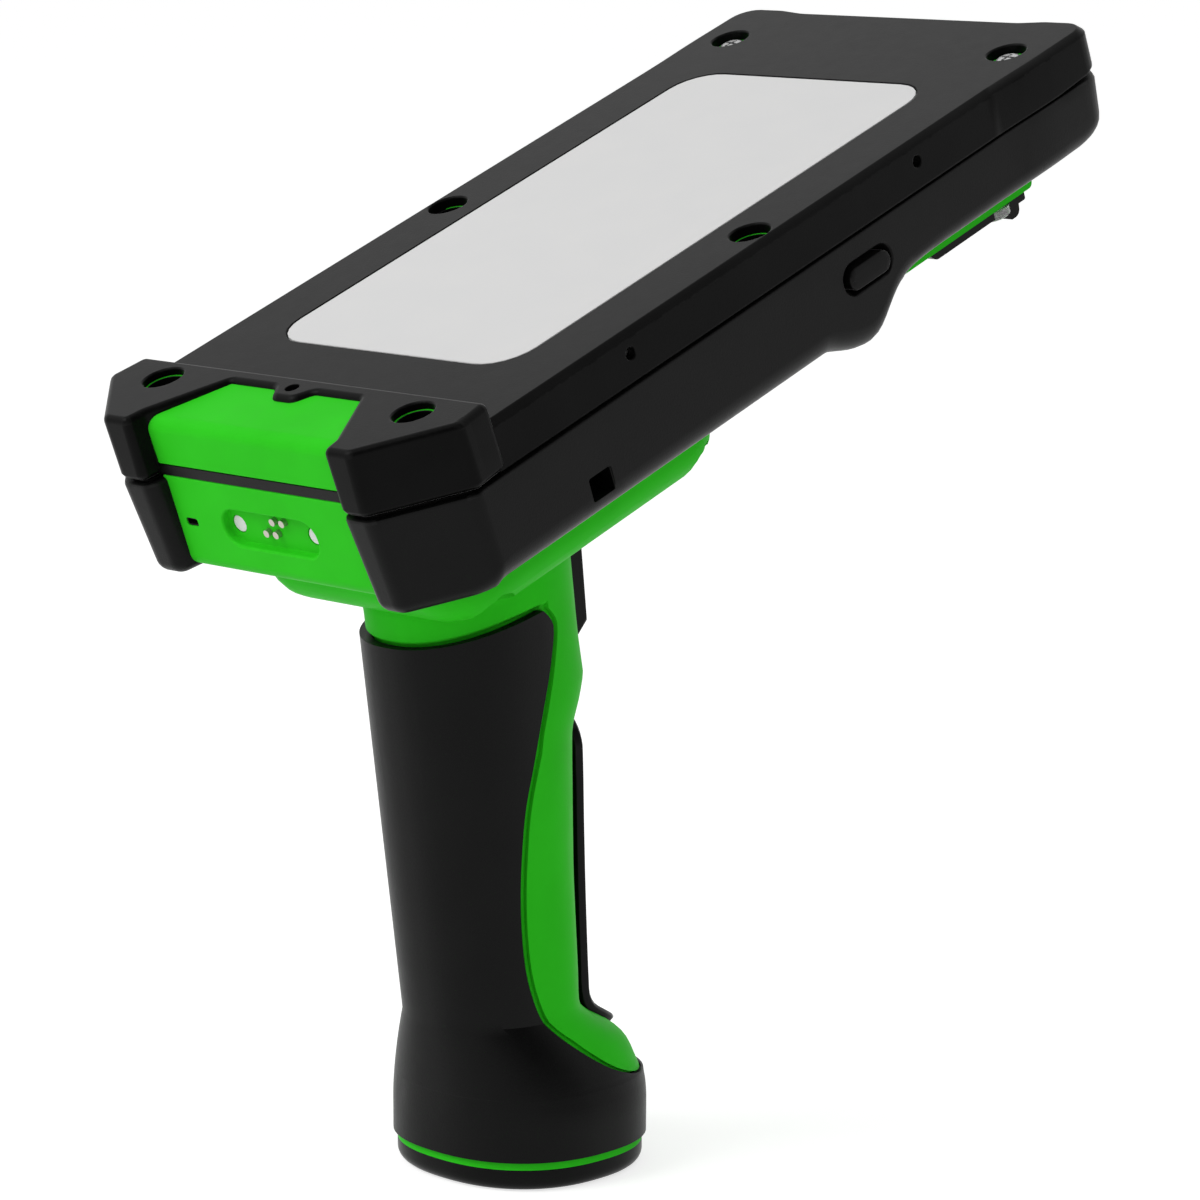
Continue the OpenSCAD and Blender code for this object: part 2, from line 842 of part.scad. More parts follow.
// Inserts: how far they lie under the parting line, and reach past the screws' tips
insert_low = 1;
insert_past = 0.5;
module screw_inserts() {
    color(brass) slab()
        both_sides()
            for (s = cover_screw_at)
                translate([s[0], s[1], w_part - screw_reach - insert_past])
                    difference() {
                        cylinder(h = screw_reach + insert_past - insert_low, d = insert_d);
                        translate([0, 0, -cut])
                            cylinder(h = screw_reach + 2 * cut, d = screw_d + 2 * running);
                    }
}

// Power switch: its front, size and the reach and diameter of its plunger
switch_back_in = 6;
switch_u = cavity_hw - switch_back_in;
switch_size = 6;
plunger_l = 1;
plunger_d = 2.6;
module power_switch() {
    color(steel) slab() {
        box([switch_u - switch_size, button_v - switch_size / 2, w_board - switch_h],
            [switch_u, button_v + switch_size / 2, w_board]);
        at_button(switch_u - cut)
            cylinder(h = plunger_l + cut, d = plunger_d);
    }
}

// Power button: depth and thickness of its head, room behind it, and gap from its stem to the switch
button_deep = 2.5;
button_t = 2.8;
button_floor = 0.5;
stem_gap = 0.3;
button_in = case_hw - button_deep;
stem_in = switch_u + plunger_l + button_travel + stem_gap;
module power_button() {
    color(black) slab() {
        at_button(button_in)
            linear_extrude(button_t) pill(button_l - 2 * button_gap, button_h - 2 * button_gap);
        at_button(stem_in)
            cylinder(h = button_in + cut - stem_in, d = stem_d);
    }
}

// Scan module

// Middle of the scan window, its seat, and the engine's reach round it
scan_back = 5.5;
scan_v = bezel_near + bezel_l / 2 - scan_back;
scan_rim = 1;
engine_hw = 20;
engine_near = 12;
engine_far = 10;
engine_depth = 3;
engine_gap = 1;
engine_top = w_tray - engine_gap;
// Domed screws that hold the scan module
module_screw_in = 3;
module_screw_back = 10.5;
module_screw_u = boss_hw - module_screw_in;
module_screw_v = bezel_near - module_screw_back;
module_screw_l = 1.8;
module_head_d = 4.6;
module_head_h = 1.8;

module scan_engine() {
    color(black) slab() difference() {
        box([-engine_hw, scan_v - engine_near, w_inner], [engine_hw, scan_v + engine_far, engine_top]);
        box([-scan_w / 2 + 2 * scan_rim, scan_v - scan_l / 2 + 2 * scan_rim, w_inner - cut],
            [scan_w / 2 - 2 * scan_rim, scan_v + scan_l / 2 - 2 * scan_rim, w_inner + engine_depth]);
    }
}

module scan_window() {
    color("skyblue") slab()
        box([-scan_w / 2, scan_v - scan_l / 2, w_boss - bezel_t],
            [scan_w / 2, scan_v + scan_l / 2, w_boss]);
}

// Flash lenses beside the scan window, and the ramp at the bezel's near end
lens_in = 5;
lens_back = 9.6;
lens_u = boss_hw - lens_in;
lens_v = bezel_near + bezel_l - lens_back;
lens_proud = 0.5;
bezel_side = 0.5;
bezel_ramp = 3;
module optics_bezel() {
    color(black) slab() difference() {
        across(2 * (boss_hw - bezel_side))
            polygon([[bezel_near, w_boss], [bezel_near + bezel_ramp, w_boss - bezel_t],
                     [bezel_near + bezel_l, w_boss - bezel_t], [bezel_near + bezel_l, w_boss]]);
        box([-scan_w / 2 - fit, scan_v - scan_l / 2 - fit, w_boss - bezel_t - cut],
            [scan_w / 2 + fit, scan_v + scan_l / 2 + fit, w_boss + cut]);
        both_sides()
            translate([lens_u, lens_v, w_boss - bezel_t - cut])
                cylinder(h = bezel_t + 2 * cut, d = lens_d + 2 * fit);
    }
}

// Hood behind the lenses, from its tip to its back
hood_gap = 0.4;
hood_in = 0.6;
hood_tip = lens_v + lens_d / 2 + hood_gap;
hood_back = bezel_near + bezel_l - hood_in;
hood_top = 2;
module scan_hood() {
    color(black) slab()
        across(2 * (boss_hw - 2 * bezel_side))
            polygon([[hood_tip, w_boss - bezel_t], [hood_back, w_boss - bezel_t],
                     [hood_back - hood_top / 2, w_boss - bezel_t - hood_h],
                     [hood_back - 1.5 * hood_top, w_boss - bezel_t - hood_h]]);
}

module flash_lens() {
    color("white") slab()
        both_sides()
            translate([lens_u, lens_v, w_boss - bezel_t - lens_proud])
                cylinder(h = bezel_t + lens_proud, d = lens_d);
}

module module_screws() {
    color(steel) slab()
        both_sides()
            translate([module_screw_u, module_screw_v, w_boss])
                rotate([180, 0, 0])
                    screw(small_d, module_head_d, module_head_h, module_screw_l);
}

// Saddle

// Straight part of the saddle's sides, and how far they draw in below it
saddle_side = 8;
saddle_draft = 2;
saddle_round = 3;
module saddle() {
    color(green) slab() difference() {
        hull() {
            plate(w_boss - saddle_side, w_boss) saddle_2d(0);
            plate(w_saddle + saddle_round / 3, w_boss) saddle_2d(saddle_draft);
            plate(w_saddle, w_boss) saddle_2d(saddle_draft + saddle_round);
        }
        at_saddle_screws() {
            translate([0, 0, w_saddle - cut])
                cylinder(h = saddle_h - pocket_roof + cut, d = pocket_d);
            translate([0, 0, w_saddle])
                cylinder(h = saddle_h + cut, d = small_d + 2 * running);
        }
        translate([0, grip_v, w_saddle - cut])
            cylinder(h = saddle_h + 2 * cut, d = wire_d);
    }
}

module saddle_2d(d) {
    rounded([-saddle_w / 2 + d, -saddle_near + d], [saddle_w / 2 - d, -saddle_far - d], saddle_r - d);
}

module saddle_screws() {
    color(steel) slab()
        at_saddle_screws()
            translate([0, 0, w_boss - pocket_roof])
                rotate([180, 0, 0])
                    screw(small_d, small_head_d, small_head_h, pocket_roof + thread_l - cut);
}

// Grip

ring_n = 40;
ring_z0 = cap_h + ring_h;
square_n = 2.3;
foot_mid = 0;
waist_mid = -6;
top_mid = -12;
slope = tan(tilt);
// Height of the saddle's underside over the middle of the grip
core_top = slab_z + (w_saddle + (top_mid - slab_y) * sin(tilt)) / cos(tilt);
// Finger rest between the pad and the trigger
rest_z = 92;
rest_h = 1.8;
rest_l = 4;
rest_step = 2.6;

// How far the foot has drawn in at height z, from 0 at the foot to 1 at the waist
function drawn(z) = pow(max(0, min(1, (z - foot_z) / (waist_z - foot_z))), 1.6);
function rise(z) = max(0, (z - waist_z) / (rim_z - waist_z));
function mix(a, b, t) = a + (b - a) * t;
function half_w(z) = mix(mix(foot_w / 2, waist_w / 2, drawn(z)), top_w / 2, rise(z));
function mid_y(z) = mix(mix(foot_mid, waist_mid, drawn(z)), top_mid, rise(z));
function back_y(z) = mix(mix(-foot_d / 2, -waist_back, drawn(z)), -top_back, rise(z));
function front_y(z) = mix(foot_d / 2, core_front, drawn(z)) + rest_h * exp(-pow((z - rest_z) / rest_l, 2));

// Point of the grip's outer surface at height z and angle a, moved out by d
function signed_pow(x, p) = sign(x) * pow(abs(x), p);
function grip_pt(z, a, d) =
    let (m = mid_y(z), depth = sin(a) > 0 ? front_y(z) - m : m - back_y(z))
    [(half_w(z) + d) * signed_pow(cos(a), 2 / square_n),
     m + (depth + d) * signed_pow(sin(a), 2 / square_n)];
function foot_pts(d) = [for (j = [0:ring_n - 1]) grip_pt(ring_z0, 360 * j / ring_n, -d)];

// Solid of the grip from z0 to z1, moved out by d, with its top rising by lean per millimetre of Y
flare_rings = 6;
module grip_solid(z0, z1, d, lean) {
    flare = [for (i = [0:flare_rings]) mix(foot_z, waist_z, i / flare_rings)];
    rest = [for (i = [-3:3]) rest_z + rest_step * i];
    zs = concat([z0], flare, [mix(waist_z, rest[0], 0.5)], rest, [z1]);
    rings = len(zs);
    points = [
        for (i = [0:rings - 1], j = [0:ring_n - 1])
            let (p = grip_pt(zs[i], 360 * j / ring_n, d))
            [p[0], p[1], zs[i] + (i == rings - 1 ? lean * (p[1] - top_mid) : 0)]
    ];
    walls = [
        for (i = [0:rings - 2], j = [0:ring_n - 1])
            let (a = i * ring_n + j, b = i * ring_n + (j + 1) % ring_n)
            each [[a, a + ring_n, b], [b, a + ring_n, b + ring_n]]
    ];
    floor_face = [[for (j = [0:ring_n - 1]) j]];
    roof_face = [[for (j = [ring_n - 1:-1:0]) (rings - 1) * ring_n + j]];
    polyhedron(points, concat(floor_face, walls, roof_face), convexity = 4);
}

// Side view of the green front that the sleeve leaves free, drawn in by d: each place is its Y,
// and its height as a share of the way from the foot to the waist, or from the waist to the rim
edge_low = [[13.5, 0.27], [8.9, 0.345], [2.7, 0.52], [-4.1, 0.8]];
edge_high = [
    [-9.1, 0.023], [-11.9, 0.097], [-13.6, 0.188], [-14.5, 0.333], [-14.3, 0.48],
    [-13, 0.61], [-10.8, 0.738], [-8.2, 0.874], [-7.1, 0.955], [-8, 0.99]
];
function edge_pts(d) = concat(
    [[foot_d, mix(foot_z, waist_z, 0.25) + d]],
    [for (p = edge_low) [p[0] + d, mix(foot_z, waist_z, p[1]) + d]],
    [for (p = edge_high) [p[0] + d, mix(waist_z, rim_z, p[1])]],
    [[top_mid + 2 + d, slab_z], [foot_d, slab_z]]
);

module green_front(d) {
    across(2 * foot_w) polygon(edge_pts(d));
}

module grip_sleeve() {
    color(black) difference() {
        grip_solid(ring_z0, rim_z, 0, rim_slope);
        grip_solid(ring_z0 - cut, core_top, -sleeve_t, slope);
        green_front(0);
    }
}

// Places for the screws that join the two halves of the core, under the sleeve
grip_screw_y = -24;
grip_screw_low = 9;
grip_screw_step = [2, -16];
grip_screw_at = [for (i = [0, 1]) [grip_screw_y, rim_z - grip_screw_low] + i * grip_screw_step];
grip_seat = 6;
grip_thread = 7;
module at_grip_screws() {
    for (p = grip_screw_at)
        translate([-grip_seat, p[0], p[1]])
            rotate([0, -90, 0])
                children();
}

base_screw_in = 8.7;
base_screw_u = foot_w / 2 - base_screw_in;
base_thread = 8;
module at_base_screws() {
    for (x = [-1, 1])
        translate([x * base_screw_u, 0, 0])
            children();
}

// Battery
cell_y = -7.5;
plug_h = 4.8;
contact_t = 1.5;
cell_z = ring_z0 + plug_h + contact_t;
cell_top = cell_z + cell_l + contact_t;
module cell_place(z) {
    translate([0, cell_y, z])
        children();
}

// Trigger: play beside it, its hub, and the pivot's height under the saddle
trigger_side = 0.4;
trigger_play = 0.5;
trigger_drop = (trigger_front - pivot_y) * sin(trigger_pull);
hub_wall = 2.6;
hub_r = trigger_pin_d / 2 + hub_wall;
pivot_z = core_top + slope * (pivot_y - top_mid) - (hub_r + hub_room) / cos(tilt);
spring_l = 3.2;
pin_hold = 3;
trigger_pin_l = trigger_w + 2 * (spring_l + pin_hold);
// Trigger switch: its back, depth and half width, and its place over the trigger's tip
switch_back = -1;
switch_depth = 5;
switch_hw = 3.5;
switch_up = 3;
switch_z = trigger_z + switch_up;
switch_tall = 7.5;
switch_reach = 1.4;
module trigger_room() {
    room = trigger_w / 2 + trigger_side;
    box([-room, switch_back + switch_depth + trigger_play, trigger_z - trigger_drop - trigger_play],
        [room, foot_d, pivot_z]);
    translate([-room, pivot_y, pivot_z])
        rotate([0, 90, 0])
            cylinder(h = 2 * room + spring_l, r = hub_r + trigger_play);
    box([-room, pivot_y, pivot_z], [room, foot_d, pivot_z + hub_r + trigger_play]);
    box([-switch_hw - trigger_play, switch_back, switch_z - trigger_play],
        [switch_hw + trigger_play, foot_d, switch_z + switch_tall + trigger_play]);
}

// One half of the green core: side is 1 for the right and -1 for the left
module grip_core(side) {
    difference() {
        intersection() {
            union() {
                grip_solid(ring_z0, core_top - fit, -sleeve_t - fit, slope);
                intersection() {
                    grip_solid(ring_z0, core_top - fit, 0, slope);
                    green_front(sleeve_gap);
                }
            }
            box([min(0, side * foot_w), -2 * foot_d, 0], [max(0, side * foot_w), 2 * foot_d, slab_z]);
        }
        cell_place(ring_z0 - cut)
            cylinder(h = cell_top - ring_z0 + cut, d = cell_d + 2 * cell_gap);
        cell_place(cell_top - cut)
            cylinder(h = slab_z, d = core_wire_d);
        trigger_room();
        translate([-trigger_pin_l / 2 - fit, pivot_y, pivot_z])
            rotate([0, 90, 0])
                cylinder(h = trigger_pin_l + 2 * fit, d = trigger_pin_d + 2 * running);
        at_grip_screws() {
            cylinder(h = foot_w, d = small_head_d + small_slack);
            translate([0, 0, -grip_seat - grip_thread])
                cylinder(h = foot_w, d = small_d + 2 * running);
        }
        at_base_screws()
            cylinder(h = ring_z0 + base_thread, d = small_d + 2 * running);
    }
}

module grip_core_left() {
    color(green) grip_core(-1);
}

module grip_core_right() {
    color(green) grip_core(1);
}

module grip_screws() {
    color(steel)
        at_grip_screws()
            screw(small_d, small_head_d, small_head_h, grip_seat + grip_thread - cut);
}

module finger_pad() {
    color(black) intersection() {
        difference() {
            grip_solid(ring_z0, core_top, pad_t, slope);
            grip_solid(ring_z0 - cut, core_top + cut, 0, slope);
        }
        box([-pad_w / 2, 0, pad_z0], [pad_w / 2, foot_d, pad_z1]);
    }
}

// Base

module base_ring() {
    color(green) difference() {
        union() {
            plate(cap_h, ring_z0) polygon(foot_pts(base_inset));
            cell_place(cap_h)
                cylinder(h = ring_h + plug_h, d = cell_d);
        }
        at_base_screws()
            cylinder(h = slab_z, d = small_d + 2 * running);
    }
}

cap_seat = 2.6;
module base_cap() {
    color(black) difference() {
        hull() {
            plate(0, cap_h) polygon(foot_pts(base_inset + cap_r));
            plate(cap_r * 0.3, cap_h) polygon(foot_pts(base_inset + cap_r * 0.29));
            plate(cap_r, cap_h) polygon(foot_pts(base_inset));
        }
        at_base_screws() {
            translate([0, 0, -cut])
                cylinder(h = cap_seat + cut, d = small_head_d + small_slack);
            cylinder(h = slab_z, d = small_d + 2 * running);
        }
    }
}

module base_screws() {
    color(steel)
        at_base_screws()
            translate([0, 0, cap_seat])
                rotate([180, 0, 0])
                    screw(small_d, small_head_d, small_head_h, ring_z0 - cap_seat + base_thread - cut);
}

module battery_cell() {
    color("royalblue")
        cell_place(cell_z)
            cylinder(h = cell_l, d = cell_d);
}

contact_in = 2;
module cell_contacts() {
    color(steel)
        for (z = [cell_z - contact_t, cell_z + cell_l])
            cell_place(z)
                cylinder(h = contact_t, d = cell_d - 2 * contact_in);
}

// Trigger

// Blade: thickness over its lower part, and how far its front leans back at the hub
blade_t = 4.4;
blade_lean = 1.6;
tip_r = 2;
module trigger() {
    mid_z = mix(trigger_z, pivot_z, 0.57);
    back = trigger_front - blade_t;
    color(black) difference() {
        union() {
            across(trigger_w)
                polygon(concat(
                    [[trigger_front - blade_lean, pivot_z + hub_r], [trigger_front - blade_lean / 4, mid_z]],
                    arc([trigger_front - tip_r, trigger_z + tip_r], tip_r, 0, -90, 5),
                    [[back + tip_r / 4, trigger_z + tip_r / 2], [back, mid_z],
                     [pivot_y + hub_r * cos(45), pivot_z - hub_r * sin(45)], [pivot_y, pivot_z + hub_r]]
                ));
            translate([-trigger_w / 2, pivot_y, pivot_z])
                rotate([0, 90, 0])
                    cylinder(h = trigger_w, r = hub_r);
        }
        translate([-trigger_w, pivot_y, pivot_z])
            rotate([0, 90, 0])
                cylinder(h = 2 * trigger_w, d = trigger_pin_d + 2 * running);
    }
}

module trigger_pin() {
    color(steel)
        translate([-trigger_pin_l / 2, pivot_y, pivot_z])
            rotate([0, 90, 0])
                cylinder(h = trigger_pin_l, d = trigger_pin_d);
}

// Close-wound coil round the trigger's pin, and its pitch from turn to turn
spring_wire = 0.7;
spring_turns = 4;
spring_play = 0.4;
spring_pitch = 0.6;
module trigger_spring() {
    color(steel)
        for (i = [0:spring_turns - 1])
            translate([trigger_w / 2 + trigger_side + spring_wire + i * spring_pitch, pivot_y, pivot_z])
                rotate([0, 90, 0])
                    rotate_extrude()
                        translate([trigger_pin_d / 2 + spring_play + spring_wire / 2, 0])
                            circle(d = spring_wire);
}

module trigger_switch() {
    color(black) {
        box([-switch_hw, switch_back, switch_z],
            [switch_hw, switch_back + switch_depth, switch_z + switch_tall]);
        box([-switch_hw / 3, switch_back + cut, switch_z + switch_tall / 3],
            [switch_hw / 3, switch_back + switch_depth + switch_reach, switch_z + switch_tall * 2 / 3]);
    }
}

top_cover();
cover_frame();
screen_window();
window_seal();
cover_screws();
side_pins();
split_seal();
lower_bumper();
lower_frame();
phone_tray();
dock_connector();
main_board();
charge_board();
charge_pads();
charge_pins();
screw_inserts();
power_switch();
power_button();
scan_engine();
scan_window();
optics_bezel();
scan_hood();
flash_lens();
module_screws();
saddle();
saddle_screws();
grip_core_left();
grip_core_right();
grip_screws();
grip_sleeve();
finger_pad();
base_ring();
base_cap();
base_screws();
battery_cell();
cell_contacts();
trigger();
trigger_pin();
trigger_spring();
trigger_switch();
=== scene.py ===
from math import atan2, cos, exp, pi, radians, sin, sqrt, tan

import bmesh
import bpy
from mathutils import Matrix, Vector


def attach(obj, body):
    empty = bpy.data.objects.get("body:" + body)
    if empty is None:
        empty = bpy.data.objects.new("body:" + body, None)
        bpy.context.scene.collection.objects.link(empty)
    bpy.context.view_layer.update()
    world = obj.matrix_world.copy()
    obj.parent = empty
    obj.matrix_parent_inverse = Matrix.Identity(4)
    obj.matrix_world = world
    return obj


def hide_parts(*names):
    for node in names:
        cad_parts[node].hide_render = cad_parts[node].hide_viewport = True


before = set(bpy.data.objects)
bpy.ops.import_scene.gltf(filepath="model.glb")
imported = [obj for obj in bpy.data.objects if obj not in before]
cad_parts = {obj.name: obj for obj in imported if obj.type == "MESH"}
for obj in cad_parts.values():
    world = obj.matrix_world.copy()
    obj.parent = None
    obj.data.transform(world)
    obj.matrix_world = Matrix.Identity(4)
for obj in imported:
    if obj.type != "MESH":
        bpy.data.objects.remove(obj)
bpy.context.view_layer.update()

# Everything is drawn in millimetres. The handle stands upright (ROW). The case lies on a slant (SLAB),
# with U across, V towards the far end and W up through the window.
MM = 0.001
TILT = radians(21.24)
SLAB_ORIGIN = (0, 0.01965, 0.1747)
ROW = Matrix.Scale(MM, 4)
SLAB = Matrix.Translation(SLAB_ORIGIN) @ Matrix.Rotation(TILT, 4, "X") @ ROW

SIDES = (1, -1)  # right and left
QUARTER = (0.4, 0.8, 1.2, pi / 2)  # steps of a rounded edge
CORNER_SHARE = 0.49  # part of an outline's leg that a corner's rounding may use
MITRE = 0.4  # limit on how far an inset corner may run out
WELD = 0.002  # points closer than this, in mm, become one
THIN_FACE = 1e-11  # faces smaller than this, in square metres, don't steer normals
FLAT_TURN = 0.004  # faces that turn by less than this, in radians, share one flat
EDGE_FROM, EDGE_SPAN = 400, 800  # curvature, per metre, where an edge starts to count, and its span


# Small helpers

def mix(a, b, t):
    """Value a share t of the way from a to b."""
    return a + (b - a) * t


def ease(t):
    """Smooth step from 0 to 1."""
    t = min(1.0, max(0.0, t))
    return t * t * (3 - 2 * t)


def rounded(corners, seg=6):
    """Closed outline through corners (x, y, radius), each rounded by an arc of seg steps."""
    out = []
    for i, (x, y, r) in enumerate(corners):
        p = Vector((x, y))
        a = Vector(corners[i - 1][:2]) - p
        b = Vector(corners[(i + 1) % len(corners)][:2]) - p
        reach = CORNER_SHARE * min(a.length, b.length)
        a.normalize()
        b.normalize()
        half = a.angle(b) / 2
        t = min(reach, r / tan(half))
        r = t * tan(half)
        c = p + (a + b).normalized() * (r / sin(half))
        s, e = p + a * t - c, p + b * t - c
        start, turn = atan2(s.y, s.x), atan2(s.x * e.y - s.y * e.x, s.dot(e))
        for j in range(seg + 1):
            g = start + turn * j / seg
            out.append(c + Vector((cos(g), sin(g))) * r)
    return out


def mirrored(corners):
    """Right half of an outline, followed by its mirror image."""
    return corners + [(-x, y, r) for x, y, r in reversed(corners)]


def inset(path, d):
    """Counter-clockwise closed outline moved inwards by d."""
    out = []
    for i, p in enumerate(path):
        a = (p - path[i - 1]).normalized()
        b = (path[(i + 1) % len(path)] - p).normalized()
        m = Vector((-a.y - b.y, a.x + b.x)).normalized()
        out.append(p + m * (d / max(MITRE, m.dot(Vector((-a.y, a.x))))))
    return out


def spline(points, step):
    """Smooth open curve through points, sampled about every step."""
    pts = [Vector(p) for p in points]
    pts = [2 * pts[0] - pts[1]] + pts + [2 * pts[-1] - pts[-2]]
    out = []
    for a, b, c, d in zip(pts, pts[1:], pts[2:], pts[3:]):
        n = max(1, round((c - b).length / step))
        for k in range(n):
            t = k / n
            out.append(((2 * b) + (c - a) * t + (2 * a - 5 * b + 4 * c - d) * t * t
                        + (3 * b - a - 3 * c + d) * t ** 3) / 2)
    return out + [pts[-2]]


def loft(bm, rings, closed=True, caps=True):
    """Skins rings of points that have the same count."""
    rows = [[bm.verts.new(p) for p in ring] for ring in rings]
    n = len(rows[0])
    for a, b in zip(rows, rows[1:]):
        for j in range(n if closed else n - 1):
            k = (j + 1) % n
            bm.faces.new((a[j], a[k], b[k], b[j]))
    if caps:
        bm.faces.new(rows[0][::-1])
        bm.faces.new(rows[-1])


def stack(bm, outline, levels):
    """Solid whose outline is drawn in by d at height z, for each (d, z)."""
    loft(bm, [[(p.x, p.y, z) for p in inset(outline, d)] for d, z in levels])


def prism(outline, z0, z1):
    """Upright solid over an outline."""
    bm = bmesh.new()
    stack(bm, outline, [(0, z0), (0, z1)])
    return bm


def across(profile, half):
    """Solid with a side view in (V, W); half(v) gives its half width there."""
    bm = bmesh.new()
    loft(bm, [[(s * half(p.x), p.x, p.y) for p in profile] for s in (1, -1)])
    return bm


def flared(outline, z0, z1, rim=0.35, floor=0.0):
    """Cutter from z0, its floor, to the surface at z1, where it opens over a rounded rim."""
    bm = bmesh.new()
    levels = [(floor, z0), (floor * 0.3, z0 + floor * 0.3)] if floor else []
    levels += [(0, z0 + floor), (0, z1 - rim)]
    levels += [(-rim * (1 - cos(g)), z1 - rim * (1 - sin(g))) for g in QUARTER]
    above = z1 + 9
    stack(bm, outline, levels + [(-rim, above)])
    return bm


def circle(r, n=40, x=0.0, y=0.0):
    return [Vector((x + r * cos(2 * pi * i / n), y + r * sin(2 * pi * i / n))) for i in range(n)]


def pill(length, height):
    """Outline with two straight sides and round ends."""
    h, l = height / 2, length / 2
    return rounded([(l, -h, h), (l, h, h), (-l, h, h), (-l, -h, h)], 10)


def rect(x0, y0, x1, y1, r=0.0):
    if r:
        return rounded([(x1, y0, r), (x1, y1, r), (x0, y1, r), (x0, y0, r)])
    return [Vector(p) for p in ((x1, y0), (x1, y1), (x0, y1), (x0, y0))]


def at(x, y, z=0.0):
    return Matrix.Translation((x, y, z))


def moved(bm, matrix):
    bm.transform(matrix)
    return bm


def join(*parts):
    """One mesh holding copies of all parts."""
    out = bmesh.new()
    for bm in parts:
        mesh = bpy.data.meshes.new("part")
        bm.to_mesh(mesh)
        bm.free()
        out.from_mesh(mesh)
        bpy.data.meshes.remove(mesh)
    return out


def cut_up(bm):
    """Splits faces of many sides, so that none of them can fold over."""
    bm.normal_update()
    bmesh.ops.triangulate(bm, faces=[f for f in bm.faces if len(f.verts) > 4])
    bmesh.ops.recalc_face_normals(bm, faces=bm.faces)


def temp(bm):
    """Object that holds a mesh while modifiers work on it."""
    cut_up(bm)
    mesh = bpy.data.meshes.new("temp")
    bm.to_mesh(mesh)
    bm.free()
    obj = bpy.data.objects.new("temp", mesh)
    bpy.context.scene.collection.objects.link(obj)
    return obj


def boolean(bm, tools, mode="DIFFERENCE"):
    """Cuts, joins or intersects a solid with each tool in turn."""
    base = temp(bm)
    cutters = [temp(t) for t in tools]
    for c in cutters:
        mod = base.modifiers.new("cut", "BOOLEAN")
        mod.operation, mod.object, mod.solver = mode, c, "MANIFOLD"
    graph = bpy.context.evaluated_depsgraph_get()
    mesh = bpy.data.meshes.new_from_object(base.evaluated_get(graph))
    out = bmesh.new()
    out.from_mesh(mesh)
    bpy.data.meshes.remove(mesh)
    for o in [base] + cutters:
        old = o.data
        bpy.data.objects.remove(o)
        bpy.data.meshes.remove(old)
    return out


def make(name, bm, space, material, body, nodes, bevel=0.0, segments=2, limit=40, sharp=35, wall=0.0):
    """Turns a mesh into a finished piece that rides on a body and stands for CAD nodes."""
    bmesh.ops.remove_doubles(bm, verts=bm.verts, dist=WELD)
    cut_up(bm)
    bm.transform(space)
    mesh = bpy.data.meshes.new(name)
    bm.to_mesh(mesh)
    bm.free()
    obj = bpy.data.objects.new(name, mesh)
    bpy.context.scene.collection.objects.link(obj)
    if wall:
        mod = obj.modifiers.new("wall", "SOLIDIFY")
        mod.thickness, mod.offset = wall * MM, -1
    round_edges(obj, bevel, segments, limit)
    settle(obj, radians(sharp))
    obj.data.materials.append(material)
    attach(obj, body)
    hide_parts(*nodes)
    return obj


def round_edges(obj, bevel, segments=2, limit=40):
    """Bevels, by a width in mm, the edges that turn by more than limit degrees."""
    if bevel:
        mod = obj.modifiers.new("edges", "BEVEL")
        mod.width, mod.segments = bevel * MM, segments
        mod.limit_method, mod.angle_limit = "ANGLE", radians(limit)


def settle(obj, sharp):
    """Applies an object's modifiers, points its normals along its flats and marks its rounded edges."""
    mesh = bpy.data.meshes.new_from_object(obj.evaluated_get(bpy.context.evaluated_depsgraph_get()))
    mesh.name = obj.name
    mesh.validate()  # drops faces that a cut left double
    old = obj.data
    obj.modifiers.clear()
    obj.data = mesh
    bpy.data.meshes.remove(old)
    bm = bmesh.new()
    bm.from_mesh(mesh)
    bm.faces.ensure_lookup_table()
    thin = {f for f in bm.faces if f.calc_area() < THIN_FACE}
    turn = {e: pi if len(e.link_faces) != 2 or thin & set(e.link_faces) else e.calc_face_angle_signed()
            for e in bm.edges}
    flat = [None] * len(bm.faces)
    for start in bm.faces:
        if flat[start.index] is None:
            group, todo = [], [start]
            flat[start.index] = group
            while todo:
                face = todo.pop()
                group.append(face)
                for e in face.edges:
                    for other in e.link_faces:
                        if flat[other.index] is None and abs(turn[e]) < FLAT_TURN:
                            flat[other.index] = group
                            todo.append(other)
    weight = [0.0] * len(bm.faces)
    for face in bm.faces:
        if not weight[face.index]:
            total = sum(f.calc_area() for f in flat[face.index])
            for f in flat[face.index]:
                weight[f.index] = total
    normals, edges = [], []
    for face in bm.faces:
        bent = sum(turn[e] * e.calc_length() for e in face.edges if turn[e] < 3)
        curve = ease((bent / max(1e-12, 2 * weight[face.index]) - EDGE_FROM) / EDGE_SPAN)
        for loop in face.loops:
            seen, todo = {face}, [face]
            while todo:
                for e in todo.pop().edges:
                    if loop.vert in e.verts and abs(turn[e]) < sharp:
                        for f in e.link_faces:
                            if f not in seen:
                                seen.add(f)
                                todo.append(f)
            normals.append(sum((f.normal * weight[f.index] for f in seen), Vector()).normalized())
            edges.append(curve)
    bm.free()
    mesh.shade_smooth()
    mesh.attributes.new("edge", "FLOAT", "CORNER").data.foreach_set("value", edges)
    mesh.normals_split_custom_set(normals)


def dress(node, material, bevel):
    """Gives a CAD part that stays its finish, rounded edges and even shading."""
    node.data.materials.clear()
    node.data.materials.append(material)
    round_edges(node, bevel)
    node.modifiers.new("normals", "WEIGHTED_NORMAL").keep_sharp = True


# Materials

GRAIN_DEPTH = 0.0002
WORN_FROM, WORN_TO = 0.25, 0.7  # share of an edge's wear mark that starts and ends the fade
PALER, LIFT = 2.2, 0.02  # worn colour against the fresh one


